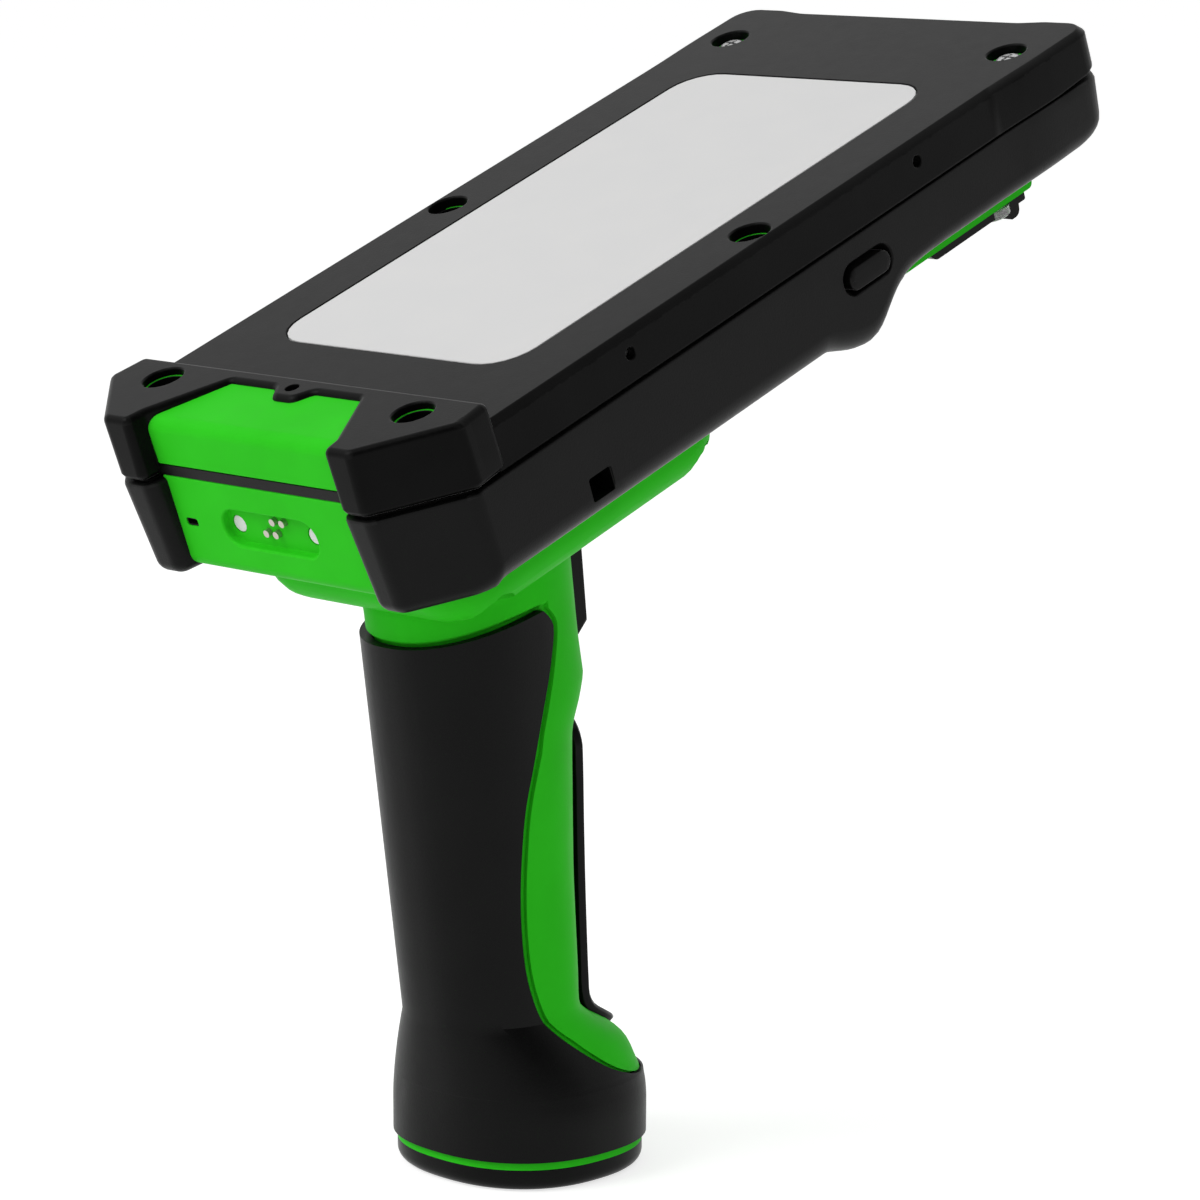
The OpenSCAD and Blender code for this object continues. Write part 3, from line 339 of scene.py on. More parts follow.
def finish_of(name, low, high, rough, grain=3500.0, bump=0.05, specular=0.5, metallic=0.0, wear=0.0,
              cloud=90.0, rough_spread=0.06, **sockets):
    """Moulded or machined surface: colour clouds from low to high, a fine grain and paler worn edges."""
    mat = bpy.data.materials.new(name)
    mat.use_nodes = True
    nodes, links = mat.node_tree.nodes, mat.node_tree.links
    shader = nodes["Principled BSDF"]
    shader.inputs["Metallic"].default_value = metallic
    shader.inputs["Specular IOR Level"].default_value = specular
    for key, value in sockets.items():
        shader.inputs[key.replace("_", " ")].default_value = value
    place = nodes.new("ShaderNodeTexCoord")

    def noise(scale, detail, roughness=0.5):
        node = nodes.new("ShaderNodeTexNoise")
        node.inputs["Scale"].default_value = scale
        node.inputs["Detail"].default_value = detail
        node.inputs["Roughness"].default_value = roughness
        links.new(place.outputs["Object"], node.inputs["Vector"])
        return node.outputs["Fac"]

    def ramp(value, *stops):
        node = nodes.new("ShaderNodeValToRGB")
        for k, (at, colour) in enumerate(stops):
            e = node.color_ramp.elements[k] if k < 2 else node.color_ramp.elements.new(at)
            e.position, e.color = at, (*colour, 1)
        links.new(value, node.inputs["Fac"])
        return node.outputs["Color"]

    clouds, fine = noise(cloud, 4), noise(grain, 2, 0.6)
    colour = ramp(clouds, (0.3, low), (0.7, high))
    if wear:
        mark = nodes.new("ShaderNodeAttribute")
        mark.attribute_name = "edge"
        patchy = nodes.new("ShaderNodeMath")
        patchy.operation = "MULTIPLY"
        links.new(mark.outputs["Fac"], patchy.inputs[0])
        links.new(noise(cloud * 9, 3), patchy.inputs[1])
        edge = nodes.new("ShaderNodeMapRange")
        edge.inputs["From Min"].default_value, edge.inputs["From Max"].default_value = WORN_FROM, WORN_TO
        edge.inputs["To Max"].default_value = wear
        links.new(patchy.outputs[0], edge.inputs["Value"])
        blend = nodes.new("ShaderNodeMix")
        blend.data_type = "RGBA"
        links.new(edge.outputs["Result"], blend.inputs["Factor"])
        links.new(colour, blend.inputs["A"])
        blend.inputs["B"].default_value = (*[min(1.0, c * PALER + LIFT) for c in high], 1)
        colour = blend.outputs["Result"]
    links.new(colour, shader.inputs["Base Color"])
    spread = nodes.new("ShaderNodeMapRange")
    spread.inputs["To Min"].default_value = rough - rough_spread
    spread.inputs["To Max"].default_value = rough + rough_spread
    links.new(noise(cloud * 4, 3), spread.inputs["Value"])
    links.new(spread.outputs["Result"], shader.inputs["Roughness"])
    relief = nodes.new("ShaderNodeBump")
    relief.inputs["Strength"].default_value = bump
    relief.inputs["Distance"].default_value = GRAIN_DEPTH
    links.new(fine, relief.inputs["Height"])
    links.new(relief.outputs["Normal"], shader.inputs["Normal"])
    return mat


def grey(v):
    return (v, v, v)


SATIN = {"Sheen_Weight": 0.3, "Sheen_Roughness": 0.2}
SKIN = finish_of("black_skin", grey(0.0012), grey(0.0026), 0.36, 2600, 0.10, 0.062, wear=0.3,
                 rough_spread=0.03, **SATIN)
RUBBER = finish_of("black_rubber", grey(0.0012), grey(0.0024), 0.40, 3200, 0.16, 0.115, wear=0.3,
                   rough_spread=0.04, Sheen_Weight=0.1, Sheen_Roughness=0.2)
BLACK = finish_of("black_plastic", grey(0.0020), grey(0.0036), 0.34, 3000, 0.08, 0.09, wear=0.3,
                  rough_spread=0.03, **SATIN)
GREEN = finish_of("green_plastic", (0.026, 0.56, 0.012), (0.030, 0.61, 0.015), 0.5, 2600, 0.10, 0.045,
                  wear=0.12)
PALE = finish_of("pale_window", grey(0.668), (0.682, 0.680, 0.677), 0.42, 3400, 0.06, 0.25)
STEEL = finish_of("zinc_steel", grey(0.5), grey(0.62), 0.3, 2200, 0.08, metallic=1.0)
WHITE = finish_of("white_plastic", grey(0.8), grey(0.84), 0.35, 3000, 0.05, 0.4)
BRASS = finish_of("gold_brass", (0.62, 0.47, 0.24), (0.70, 0.54, 0.30), 0.28, 2200, 0.06, metallic=1.0)
DARK_STEEL = finish_of("dark_steel", grey(0.16), grey(0.22), 0.34, 2200, 0.08, metallic=1.0)
PIN = finish_of("worn_gold", (0.50, 0.47, 0.42), (0.58, 0.54, 0.48), 0.42, 2200, 0.06, metallic=0.9)
BOARD = finish_of("green_board", (0.006, 0.07, 0.030), (0.010, 0.10, 0.045), 0.4, 1500, 0.15, 0.4)
CELL = finish_of("cell_wrap", (0.02, 0.06, 0.25), (0.03, 0.08, 0.30), 0.3, 1800, 0.08, 0.4)
GLASS = finish_of("dark_glass", (0.010, 0.006, 0.008), (0.014, 0.008, 0.010), 0.08, 900, 0.01, 0.5,
                  rough_spread=0.02)
CLEAR = finish_of("clear_glass", grey(0.86), grey(0.92), 0.12, 900, 0.02, 0.5, rough_spread=0.03,
                  Transmission_Weight=0.8)


# Case outlines in U and V. Corners are given as U, V and radius, and only for the right half.

NEAR_FACE = -91.7  # green front plate
FULL_NEAR = NEAR_FACE - 0.1
NOTCH_END, NOTCH_OUT, NOTCH_IN = -77.45, 25.3, 16.9  # inner end of the front notch, its outer and inner half width
FRAME_GAP = 2.55  # green frames lie this far inside the outline
COVER_SIDE = [(44.9, 66, 190), (45.4, 76, 190), (45.4, 95.2, 9), (34, 95.2, 12), (28, 94.2, 12)]
FAR_LOW = [(44.9, 66, 190), (45.0, 76, 190), (44.1, 93.7, 10), (34, 94.1, 12), (28, 93.6, 12)]
NEAR_SIDE = [(31.5, -94.2, 3), (44.9, -80.8, 3.5)]
EAR = [(2.7, -80.9, 2.5), (5.2, NOTCH_END, 2.2)]
FULL = rounded(mirrored(NEAR_SIDE + COVER_SIDE))


def notch_half(v):
    """Half width of the front notch at v."""
    return mix(NOTCH_OUT, NOTCH_IN, (v - NEAR_FACE) / (NOTCH_END - NEAR_FACE))


# Cover screws: U, V and the height of the green ring in each hole
MID_SCREW, FAR_SCREW, NEAR_SCREW = (39.25, 0, -2), (35.8, 79.65, -2), (32.8, -79.8, 2.0)
SCREWS = [(s * u, v, w) for s in SIDES for u, v, w in (MID_SCREW, FAR_SCREW, NEAR_SCREW)]
DEEP = [p for p in SCREWS if p[1] < FAR_SCREW[1]]
SHALLOW = [p for p in SCREWS if p[1] == FAR_SCREW[1]]
RAISED = [p for p in SCREWS if p[2] > 0]
FRAME = inset([Vector((p.x, max(p.y, FULL_NEAR))) for p in FULL], FRAME_GAP)
BAY = rect(-36.05, -75.5, 36.05, 75.5, 4)


# Lays a drawing made in X and Y against the right side, so that X runs along V and Y along W
ON_SIDE = Matrix(((0, 0, 1, 0), (1, 0, 0, 0), (0, 1, 0, 0), (0, 0, 0, 1)))
# Lays it against the near face, so that X runs along U, Y along W and depth towards the far end
ON_FRONT = Matrix(((1, 0, 0, 0), (0, 0, 1, 0), (0, 1, 0, 0), (0, 0, 0, 1)))


def on_side(v, w, s=1):
    """Place at (v, w) on the right side of the case, or on its left side where s is -1."""
    return Matrix.Scale(s, 4, (1, 0, 0)) @ ON_SIDE @ at(v, w)


def on_front(u, w):
    """Place at (u, w) on the near face."""
    return ON_FRONT @ at(u, w)


# Cover

COVER_LOW = -9.2
BLOCK_HIGH = 3.5
PIN_V, PIN_W = 39.9, -4

plate = bmesh.new()
PLATE = rounded(mirrored([(44.9, -75.4, 0.5)] + COVER_SIDE))
levels = [(0.5, COVER_LOW), (0.14, -9.06), (0, -8.7), (0, -1.5), (0.09, -1.2), (1.2, -0.09), (1.5, 0)]


def far_lift(v, w):
    """Rise of the plate's lower edge towards the far end."""
    return 0.8 * ease((v - 87) / 5) if w < -8 else 0.0


loft(plate, [[(p.x, p.y, w + far_lift(p.y, w)) for p in inset(PLATE, d)] for d, w in levels])
BLOCK_TOP = rounded(mirrored(EAR + [(NOTCH_IN, NOTCH_END, 1.2), (25.1, -91.4, 3), (25.9, -95.4, 1.6),
                                    (32.2, -95.4, 2.4), (46.1, -81.5, 2.2), (45.7, -79, 4), (44.9, -73.4, 1.6)]))
BLOCK_LOW = rounded(mirrored(EAR + [(17.2, NOTCH_END, 1.2), (25.4, -91.4, 3), (26.1, -95.7, 1.8),
                                    (31.9, -95.7, 2.8), (46.2, -81.4, 2.6), (45.8, -79, 4), (45.2, -73.4, 1.8)]))
block = bmesh.new()
edge_r = 1.3
levels = [(1.7, COVER_LOW), (1.0, -9.0), (0.4, -8.55), (0, -7.8), (0, -4.0), (0, 0.0), (0, BLOCK_HIGH - edge_r)]
levels += [(edge_r * (1 - cos(a)), BLOCK_HIGH - edge_r + edge_r * sin(a)) for a in QUARTER]
rings = []
for d, w in levels:
    t = (w - COVER_LOW) / (BLOCK_HIGH - COVER_LOW)
    rings.append([(p.x, p.y, w) for p in inset([a.lerp(b, t) for a, b in zip(BLOCK_LOW, BLOCK_TOP)], d)])
loft(block, rings)
cover = boolean(plate, [block], "UNION")
window_cut = rect(-31.05, -56.3, 31.05, 63.65, 8.2)
cuts = [prism(inset(FULL, 2.4), -12, -2), flared(window_cut, -5, 0, 0.2)]
cuts += [moved(flared(circle(3.85, 48), -4, BLOCK_HIGH if w > 0 else 0, 0.4), at(u, v)) for u, v, w in SCREWS]
cuts += [moved(prism(circle(5.1), -4, 2.1), at(u, v)) for u, v, w in RAISED]
cuts += [moved(flared(circle(1.15, 32), 38, 44.9, 0.25), on_side(v, PIN_W, s)) for s in SIDES for v in (PIN_V, -PIN_V)]
cuts += [flared(circle(1.35, 32, -0.5, -77.4), 0, BLOCK_HIGH, 0.15)]
cover = boolean(cover, cuts)
# Black cups that leave a thin green ring in the deep screw holes
for u, v, w in DEEP:
    cup = bmesh.new()
    stack(cup, circle(3.6, 48), [(0, -6.7), (0, w - 0.1), (0.08, w - 0.03), (0.2, w - 0.1), (0.25, -6.4)])
    cover = join(cover, moved(cup, at(u, v)))
make("cover_shell", cover, SLAB, SKIN, "cover", ["top_cover"])

LINER_LOW, LINER_HIGH = -6.95, -2.02
bend = rounded([(-77.4, LINER_LOW, 0.1), (NEAR_FACE, LINER_LOW, 0.35), (NEAR_FACE, 1.85, 2.6), (-77.4, 2.6, 0.1)], 8)
tongue = across(bend[::-1], notch_half)
liner = prism(FRAME, LINER_LOW, LINER_HIGH)
liner = boolean(liner, [prism(BAY, -8, -3), prism(rect(-28.8, -54, 28.8, 61.4, 6), -5, 0)])
seats = [moved(prism(circle(5), -4, w), at(u, v)) for u, v, w in RAISED]
liner = boolean(liner, [tongue] + seats, "UNION")
wells = [moved(prism(circle(3.2, 48), -3.1, 3), at(u, v)) for u, v, w in SHALLOW]
wells += [prism(rounded(mirrored([(3.2, -80.8, 2.8), (3.2, -74, 0.2)])), -7.2, 5)]
wells += [moved(prism(circle(3.62, 48), -6.8, w + 3), at(u, v)) for u, v, w in DEEP]
liner = boolean(liner, wells)
make("cover_liner", liner, SLAB, GREEN, "cover", ["cover_frame"])

panel = bmesh.new()
stack(panel, rect(-30.8, -56.04, 30.8, 63.4, 8),
      [(0.1, -1.2), (0, -1.1), (0, -0.28), (0.07, -0.1), (0.25, -0.03)])
make("window_panel", panel, SLAB, PALE, "cover", ["screen_window"])


def cross_screw(head, height, shank, length, recess):
    """Pan-head screw with a cross recess; the underside of its head is at zero."""
    bm = bmesh.new()
    r = head / 2
    stack(bm, circle(r, 48), [(0, 0), (0, height * 0.45), (r * 0.07, height * 0.7), (r * 0.2, height * 0.88),
                              (r * 0.42, height)])
    arm, w = recess, recess * 0.2
    cross = rounded([(arm, -w, 0.1), (arm, w, 0.1), (w, w, 0.15), (w, arm, 0.1), (-w, arm, 0.1), (-w, w, 0.15),
                     (-arm, w, 0.1), (-arm, -w, 0.1), (-w, -w, 0.15), (-w, -arm, 0.1), (w, -arm, 0.1),
                     (w, -w, 0.15)], 2)
    tool = bmesh.new()
    loft(tool, [[(p.x * k, p.y * k, z) for p in cross] for k, z in ((0.45, height * 0.3), (1, height * 1.1))])
    bm = boolean(bm, [tool])
    thread = bmesh.new()
    rings, turns, depth = [], 10, 0.18
    for i in range(turns * 2 + 1):
        radius = shank / 2 - (depth if i % 2 else 0)
        rings.append([(p.x, p.y, -length * i / (turns * 2)) for p in circle(radius, 24)][::-1])
    loft(thread, rings)
    return join(bm, thread)


SCREW_TIP = -17.3
screws = []
for i, (u, v, w) in enumerate(SCREWS):
    seat = -6.3 if (u, v, w) in DEEP else -3.0
    turned = Matrix.Rotation(0.5 + i, 4, "Z")
    screws.append(moved(cross_screw(5.7, 2.0, 3, seat - SCREW_TIP, 1.75), at(u, v, seat) @ turned))
make("cover_screw_set", join(*screws), SLAB, STEEL, "cover", ["cover_screws"])


# Lower half of the case

RIDGE_V = 15.8
BUTTON_U, BUTTON_V, BUTTON_W = 44.4, 20.7, -16.75
PORT_V, PORT_W = -54.4, -22
SPLIT = -9.4  # height of the parting line
FOOT_W = -28  # height at which the bumper has its lower outline


def belly(v):
    """Lowest line of the bumper: a finger ridge, then a long sweep up to the far end."""
    if v < RIDGE_V:
        return FOOT_W - 3.3 * sin(pi / 2 * max(0.0, 1 - (RIDGE_V - v) / 10.3)) ** 1.2
    return -22.3 - 9.0 * exp(-((v - RIDGE_V) / 9.6) ** 2)


def half_rim(near, far):
    """Outline of the right half, from the notch's inner corner to the middle of the far end."""
    return rounded([(17.2, -77.4, 0)] + near + far + [(0, 94.1, 0), (0, -40, 0)])[6:-13]


def rim_path():
    """Points round the right half of the bumper at its top edge, paired with those at its bottom."""
    top = half_rim([(24.3, -89.8, 3), (25.2, -95.6, 3), (32.3, -95.6, 3.6), (45.6, -82.3, 4)], COVER_SIDE)
    low = half_rim([(24.5, -89.4, 3), (26.0, -94.4, 3), (31.9, -94.4, 3.6), (44.9, -81.4, 4)], FAR_LOW)
    pairs = list(zip(top, low))
    fine = [pairs[0]]
    for a, b in zip(pairs, pairs[1:]):
        n = max(1, int((b[0] - a[0]).length / 1.6))
        fine += [(a[0].lerp(b[0], k / n), a[1].lerp(b[1], k / n)) for k in range(1, n + 1)]
    return fine


def bumper():
    """Soft lower skin: one section per point of its rim, on both sides."""
    right = rim_path()
    n = len(right)
    turn = next(i for i, (p, q) in enumerate(right) if p.y > -77.5 and p.x > 40)
    rows = []
    for i, (p, foot) in enumerate(right):
        a, b = right[max(0, i - 1)][0], right[min(n - 1, i + 1)][0]
        t = (b - a).normalized()
        out = Vector((t.y, -t.x))
        if i == n - 1:
            out = Vector((0, 1))
        near = ease((-79.0 - p.y) / 3.0)
        if i < turn:
            q = Vector((mix(19.5, 32.1, i / turn), -77.3))
        else:
            q = Vector((min(32.1, p.x), min(84.1, p.y)))
        low = belly(p.y) - 0.7 * ease((-80 - p.y) / 6)
        far = ease((p.y - 86) / 6)
        r = mix(mix(5.0, 3.6, ease((p.y - 20) / 15)), 2.6, ease((-79 - p.y) / 8)) + 1.2 * far
        top = -9.42 - 0.15 * near

        def put(d, w):
            k = p.lerp(foot, (SPLIT - w) / (SPLIT - FOOT_W)) - out * d
            return Vector((k.x, k.y, w))

        soft = mix(mix(0.45, 0.7, near), 1.2, far)
        ring = [put(2.4, -9.3), put(1.6, -9.3), put(1.6, top), put(soft, top), put(soft * 0.3, top - soft * 0.3),
                put(0, top - soft)]
        ring += [put(0, mix(top - soft, low + r, k / 4)) for k in range(1, 5)]
        ring += [put(r * (1 - cos(g)), low + r * (1 - sin(g))) for g in (pi / 12 * k for k in range(1, 7))]
        ring += [Vector((mix(ring[-1].x, q.x, 0.5), mix(ring[-1].y, q.y, 0.5), low)), Vector((q.x, q.y, low)),
                 Vector((q.x, q.y, -20.1)), put(2.4, -20.1)]
        rows.append(ring)
    rows += [[Vector((-q.x, q.y, q.z)) for q in ring] for ring in reversed(rows[:-1])]
    bm = bmesh.new()
    loft(bm, rows)
    return bm


pocket = bmesh.new()
stack(pocket, pill(13.9, 6.4),
      [(1.0, 40), (1.0, 42.7), (0.95, 42.75), (0.18, 44.5), (0.05, 44.85), (-0.2, 45), (-0.2, 50)])
pocket = moved(pocket, on_side(BUTTON_V, BUTTON_W))
ports = [moved(flared(rect(-2.7, -2.2, 2.7, 2.2, 0.35), 25, 44.95, 0.2), on_side(PORT_V, PORT_W, s)) for s in SIDES]
make("lower_shell", boolean(bumper(), [pocket] + ports), SLAB, RUBBER, "case", ["lower_bumper"],
     sharp=40)

button = bmesh.new()
stack(button, pill(11.4, 4.2), [(0.05, -3.6), (0, -3.4), (0, 0.95), (0.08, 1.12), (0.28, 1.25), (1.2, 1.28)])
make("button_cap", moved(button, at(BUTTON_U, 0) @ on_side(BUTTON_V, BUTTON_W - 0.05)), SLAB, BLACK, "button",
     ["power_button"])

KEEL_LOW = -29.2
PAD_U, PAD_W = (9.6, -10.3), -18
PINS = ((0, -16.05), (2.5, -16.05), (-2.5, -18.55), (0, -18.55))  # U and W
RESET_U, RESET_W = -21.3, -18.1

plan = [(27.3, -95.2), (17.2, -77.35), (17.2, -77.3), (32, -77.3), (32, 84), (-32, 84), (-32, -77.3),
        (-17.2, -77.3), (-17.2, -77.35), (-27.3, -95.2)]
side = rounded([(NEAR_FACE, -9.1, 0.35), (NEAR_FACE, -27.6, 2.8), (-79, KEEL_LOW, 6), (82.4, KEEL_LOW, 1.2),
                (82.4, -9.1, 0.2)][::-1], 8)
keel = boolean(prism([Vector(p) for p in plan], -40, 0), [across(side, lambda v: 50)], "INTERSECT")
keel = boolean(keel, [prism(FRAME, -20, -9.1)], "UNION")
inwards = Matrix.Scale(-1, 4, (0, 0, 1))
cuts = [prism(BAY, -12.6, 0), prism(rect(-29.5, -73.6, 29.5, 75.5, 2), -26.7, -11),
        moved(flared(pill(24.8, 7.2), 90.0, -NEAR_FACE, 0.45, 0.4), on_front(-0.4, -17.9) @ inwards),
        moved(prism(rect(-1.55, -0.8, 1.55, 0.8, 0.5), -96, -83.9), on_front(RESET_U, RESET_W)),
        moved(prism(rect(-4, -1.2, 4, 1.2, 0.5), -84.2, -80), on_front(-5, -29.4)),
        moved(prism(pill(14.5, 6.8), 39.4, 50), on_side(BUTTON_V, BUTTON_W + 0.05)),
        moved(prism(circle(1.75, 24), 28, 50), on_side(21, -16.4))]
cuts += [moved(prism(rect(-2.2, -1.7, 2.2, 1.7, 0.2), 28, 50), on_side(PORT_V, PORT_W, s)) for s in SIDES]
cuts += [moved(prism(circle(1.75, 32), -96, -88), on_front(u, PAD_W)) for u in PAD_U]
cuts += [prism(rect(-18.5, -90.6, -11.5, -88.6, 0.9), -30, -26.2),
         prism(rect(3.9, -88.6, 5.3, -87.8, 0.3), -30, -28.4)]
cuts += [moved(prism(circle(0.75, 20), -96, -88), on_front(u, w)) for u, w in PINS]
cuts += [moved(prism(circle(2.35, 24), -18.5, 0), at(u, v)) for u, v, w in SCREWS]
cuts += [prism(rect(-12, 56.3, 12, 67.2, 1), -40, -25)]
make("lower_liner", boolean(keel, cuts), SLAB, GREEN, "case", ["lower_frame"])


pads = []
for u in PAD_U:
    contact = bmesh.new()
    stack(contact, circle(1.65, 40), [(0.4, -89.9), (0.12, -89.86), (0, -89.7), (0, -87.5)])
    pads.append(moved(contact, on_front(u, PAD_W)))
make("charge_pad_pair", join(*pads), SLAB, WHITE, "case", ["charge_pads"])
# Black sleeve on the reset slot's walls: painted shade, dark plastic that stands in for the shade deep inside the
# narrow slot.
slot_shade_lining = prism(rect(-1.5, -0.75, 1.5, 0.75, 0.5), -91.5, -84)
slot_shade_lining = boolean(slot_shade_lining, [prism(rect(-1.25, -0.5, 1.25, 0.5, 0.3), -99, -84.5)])
make("reset_slot_painted_shade", moved(slot_shade_lining, on_front(RESET_U, RESET_W)), SLAB, BLACK, "case", ["lower_frame"])


# Scan module under the far end

BEZEL_HIGH, BEZEL_LOW, BEZEL_FAR = -29.15, -31.0, 80.3
LENS_U, LENS_V = 28.6, 73.2
DOME_U, DOME_V = 29, 42.5
DOWN = Matrix.Rotation(pi, 4, "X")

bezel_side = rounded([(50.6, BEZEL_HIGH, 0.05), (52.6, BEZEL_LOW, 2.0), (BEZEL_FAR, BEZEL_LOW, 0.4),
                      (BEZEL_FAR, BEZEL_HIGH, 0.05)], 6)
cuts = [prism(rect(-13.1, 56.1, 13.1, 67.4, 1), -33, -28)]
cuts += [moved(prism(circle(3.65), -33, -28), at(s * LENS_U, LENS_V)) for s in SIDES]
bezel = boolean(across(bezel_side, lambda v: 31.3), cuts)
make("optics_frame", bezel, SLAB, BLACK, "case", ["optics_bezel"])
hood_side = rounded([(76.4, -30.9, 0.1), (76.9, -34.1, 0.5), (79.7, -34.1, 1.7), (80.1, -30.9, 0.1)], 6)
make("hood_rib", across(hood_side, lambda v: 29.6), SLAB, BLACK, "case", ["scan_hood"], 0.4, 3, 50)
lenses = []
for s in SIDES:
    lens = bmesh.new()
    stack(lens, circle(3.5, 48), [(0, -1.2), (0, 0.3), (0.2, 0.5), (0.7, 0.5), (0.9, 0.2), (1.6, 0.25), (2.6, 0.5)])
    lenses.append(moved(lens, at(s * LENS_U, LENS_V, BEZEL_LOW) @ DOWN))
make("flash_lens_pair", join(*lenses), SLAB, CLEAR, "case", ["flash_lens"])
domes = []
for s in SIDES:
    dome = bmesh.new()
    stack(dome, circle(2.3, 40), [(0, 0), (0, 0.3), (0.2, 0.9), (0.7, 1.45), (1.4, 1.75), (2.0, 1.82)])
    tool = bmesh.new()
    stack(tool, circle(0.75, 6), [(0, 0.9), (0, 3)])
    pin = prism(circle(1.25, 20), -1.8, 0.2)
    domes.append(moved(join(boolean(dome, [tool]), pin), at(s * DOME_U, DOME_V, KEEL_LOW) @ DOWN))
make("module_screw_pair", join(*domes), SLAB, DARK_STEEL, "case", ["module_screws"])


# Grip: the outer surface of the handle

BAND_TOP = 5.8  # height of the green band over the base
TOE, WAIST, NECK = 12, 30.4, 106.8  # heights between which the handle changes its section
# Half width, middle and back of the section at each of them
TOE_SIZE, WAIST_SIZE, NECK_SIZE = (23.2, 0, -22), (16, -6, -23), (17, -12, -33.8)
# Front of the handle, as height and Y: toe, straight behind the pad, stop under the trigger, lean above it
FRONT = spline([(0, 22), (12, 22.2), (17, 22.4), (19.2, 21.5), (22.8, 19.5), (25.5, 16.1), (28, 11.4), (30.4, 8.5),
                (33, 7.7), (40, 7.7), (80, 7.7), (84.6, 7.8), (88.5, 8.8), (92.4, 10.0), (93, 10.15), (93.6, 10.0),
                (97.7, 9.1), (102, 8.2), (109, 7.1), (117, 5.8), (125, 4.6), (133, 3.4)], 0.4)


def front_of(z):
    """Front of the handle at height z."""
    k = next(i for i, p in enumerate(FRONT) if p.x > z)
    a, b = FRONT[k - 1], FRONT[k]
    return mix(a.y, b.y, (z - a.x) / (b.x - a.x))


def sizes(z):
    """Half width, middle, back and front of the handle at height z."""
    drawn = min(1.0, max(0.0, (z - TOE) / (WAIST - TOE))) ** 1.6
    rise = min(1.0, max(0.0, (z - WAIST) / (NECK - WAIST)))
    half, mid, back = [mix(mix(a, b, drawn), c, rise) for a, b, c in zip(TOE_SIZE, WAIST_SIZE, NECK_SIZE)]
    return half, mid, back, front_of(z)


def squareness(z, front):
    """Exponent of the handle's oval: rounder at the front above the toe."""
    full, softer = 2.3, 2.0
    return mix(full, softer, ease((z - 30) / 30) * ease((90 - z) / 9)) if front else full


def grip_point(z, a, d=0.0):
    """Point on the handle at height z and angle a, moved outwards by d."""
    half, mid, back, front = sizes(z)
    s, c = sin(a), cos(a)
    depth = front - mid if s > 0 else mid - back
    power = 2 / squareness(z, s > 0)
    return Vector(((half + d) * abs(c) ** power * (1 if c > 0 else -1),
                   mid + (depth + d) * abs(s) ** power * (1 if s > 0 else -1), z))


def angle_at(z, y):
    """Angle on the right side at which the handle's surface passes y."""
    half, mid, back, front = sizes(z)
    depth = front - mid if y > mid else mid - back
    s = min(1.0, (abs(y - mid) / depth)) ** (squareness(z, y > mid) / 2)
    return atan2(s if y > mid else -s, sqrt(max(0.0, 1 - s * s)))


# Edge of the sleeve on the right side: Y, Z, and the height of the same row at the back
EDGE = spline([(22, 17.3, 17.3), (18.5, 17.3, 17.4), (13.5, 17.5, 17.7), (8.9, 18.4, 18.7), (2.7, 20.9, 21.2),
               (-4.1, 25.5, 25.4), (-9.0, 30.4, 30.4), (-11.9, 36.4, 36.2), (-13.6, 43.5, 43), (-14.5, 53, 52.5),
               (-14.5, 62.2, 61.5), (-13.8, 71.1, 70.1), (-12, 79.4, 77.6), (-9.9, 88.5, 85.8), (-8.2, 95.7, 92),
               (-7.1, 102.6, 97.4), (-7.7, 105.2, 99.6), (-9.9, 107.2, 101.3)], 2.0)


def row_height(e, y):
    """Height of an edge row at y: rows lean back towards the top of the sleeve."""
    lean = (e[1] - e[2]) / max(8.0, e[0] + 33.0)
    return e[1] + lean * (y - e[0])


def sleeve_row(e, n=72):
    """Row of points round the sleeve, from its edge on the right side past the back to its edge on the left."""
    start = pi / 2 if e[0] > 21.9 else angle_at(e[1], e[0])
    ring = []
    for j in range(n + 1):
        a = mix(start, -pi - start, j / n)
        z = e[1]
        for k in range(2):
            z = row_height(e, grip_point(z, a).y)
        ring.append(grip_point(z, a))
    return ring


sleeve = bmesh.new()
rows = [sleeve_row((22, z, z)) for z in (5.75, 7, 9, 11, 12.5, 14, 15.2)]
rows += [sleeve_row(e) for e in EDGE]
loft(sleeve, rows, closed=False, caps=False)
bmesh.ops.remove_doubles(sleeve, verts=sleeve.verts, dist=0.01)
make("sleeve_skin", sleeve, ROW, RUBBER, "case", ["grip_sleeve"], 0.5, 5, 60, 20, wall=1.9)


LEDGE = 0.9  # depth of the narrow ledge beside the sleeve's edge
FLUSH, HIDDEN = -0.15, -2.5  # depth of the core's open surface, and of the part under the sleeve
EDGE_GAP = 0.55  # gap between the sleeve's edge and the ledge
UNDER = [0.012, 0.03, 0.045]  # angles, past the sleeve's edge, of the step down to the hidden part


def opening(start, n=44):
    """Angles over the open front of the core, with 1 on the narrow ledge along both edges of the sleeve."""
    lip, step = min(0.036, 0.3 * (pi / 2 - start)), 0.006
    side = [start, start + lip / 2, start + lip]
    front = [mix(start + lip + step, pi - start - lip - step, j / (n - 6)) for j in range(n - 5)]
    return [(a, 1) for a in side] + [(a, 0) for a in front] + [(pi - a, 1) for a in reversed(side)]


def covered(start, m=36):
    """Angles over the part of the core that lies under the sleeve."""
    back = [mix(pi - start + UNDER[-1], 2 * pi + start - UNDER[-1], j / m) for j in range(1, m)]
    return [pi - start + g for g in UNDER] + back + [2 * pi + start - g for g in reversed(UNDER)]


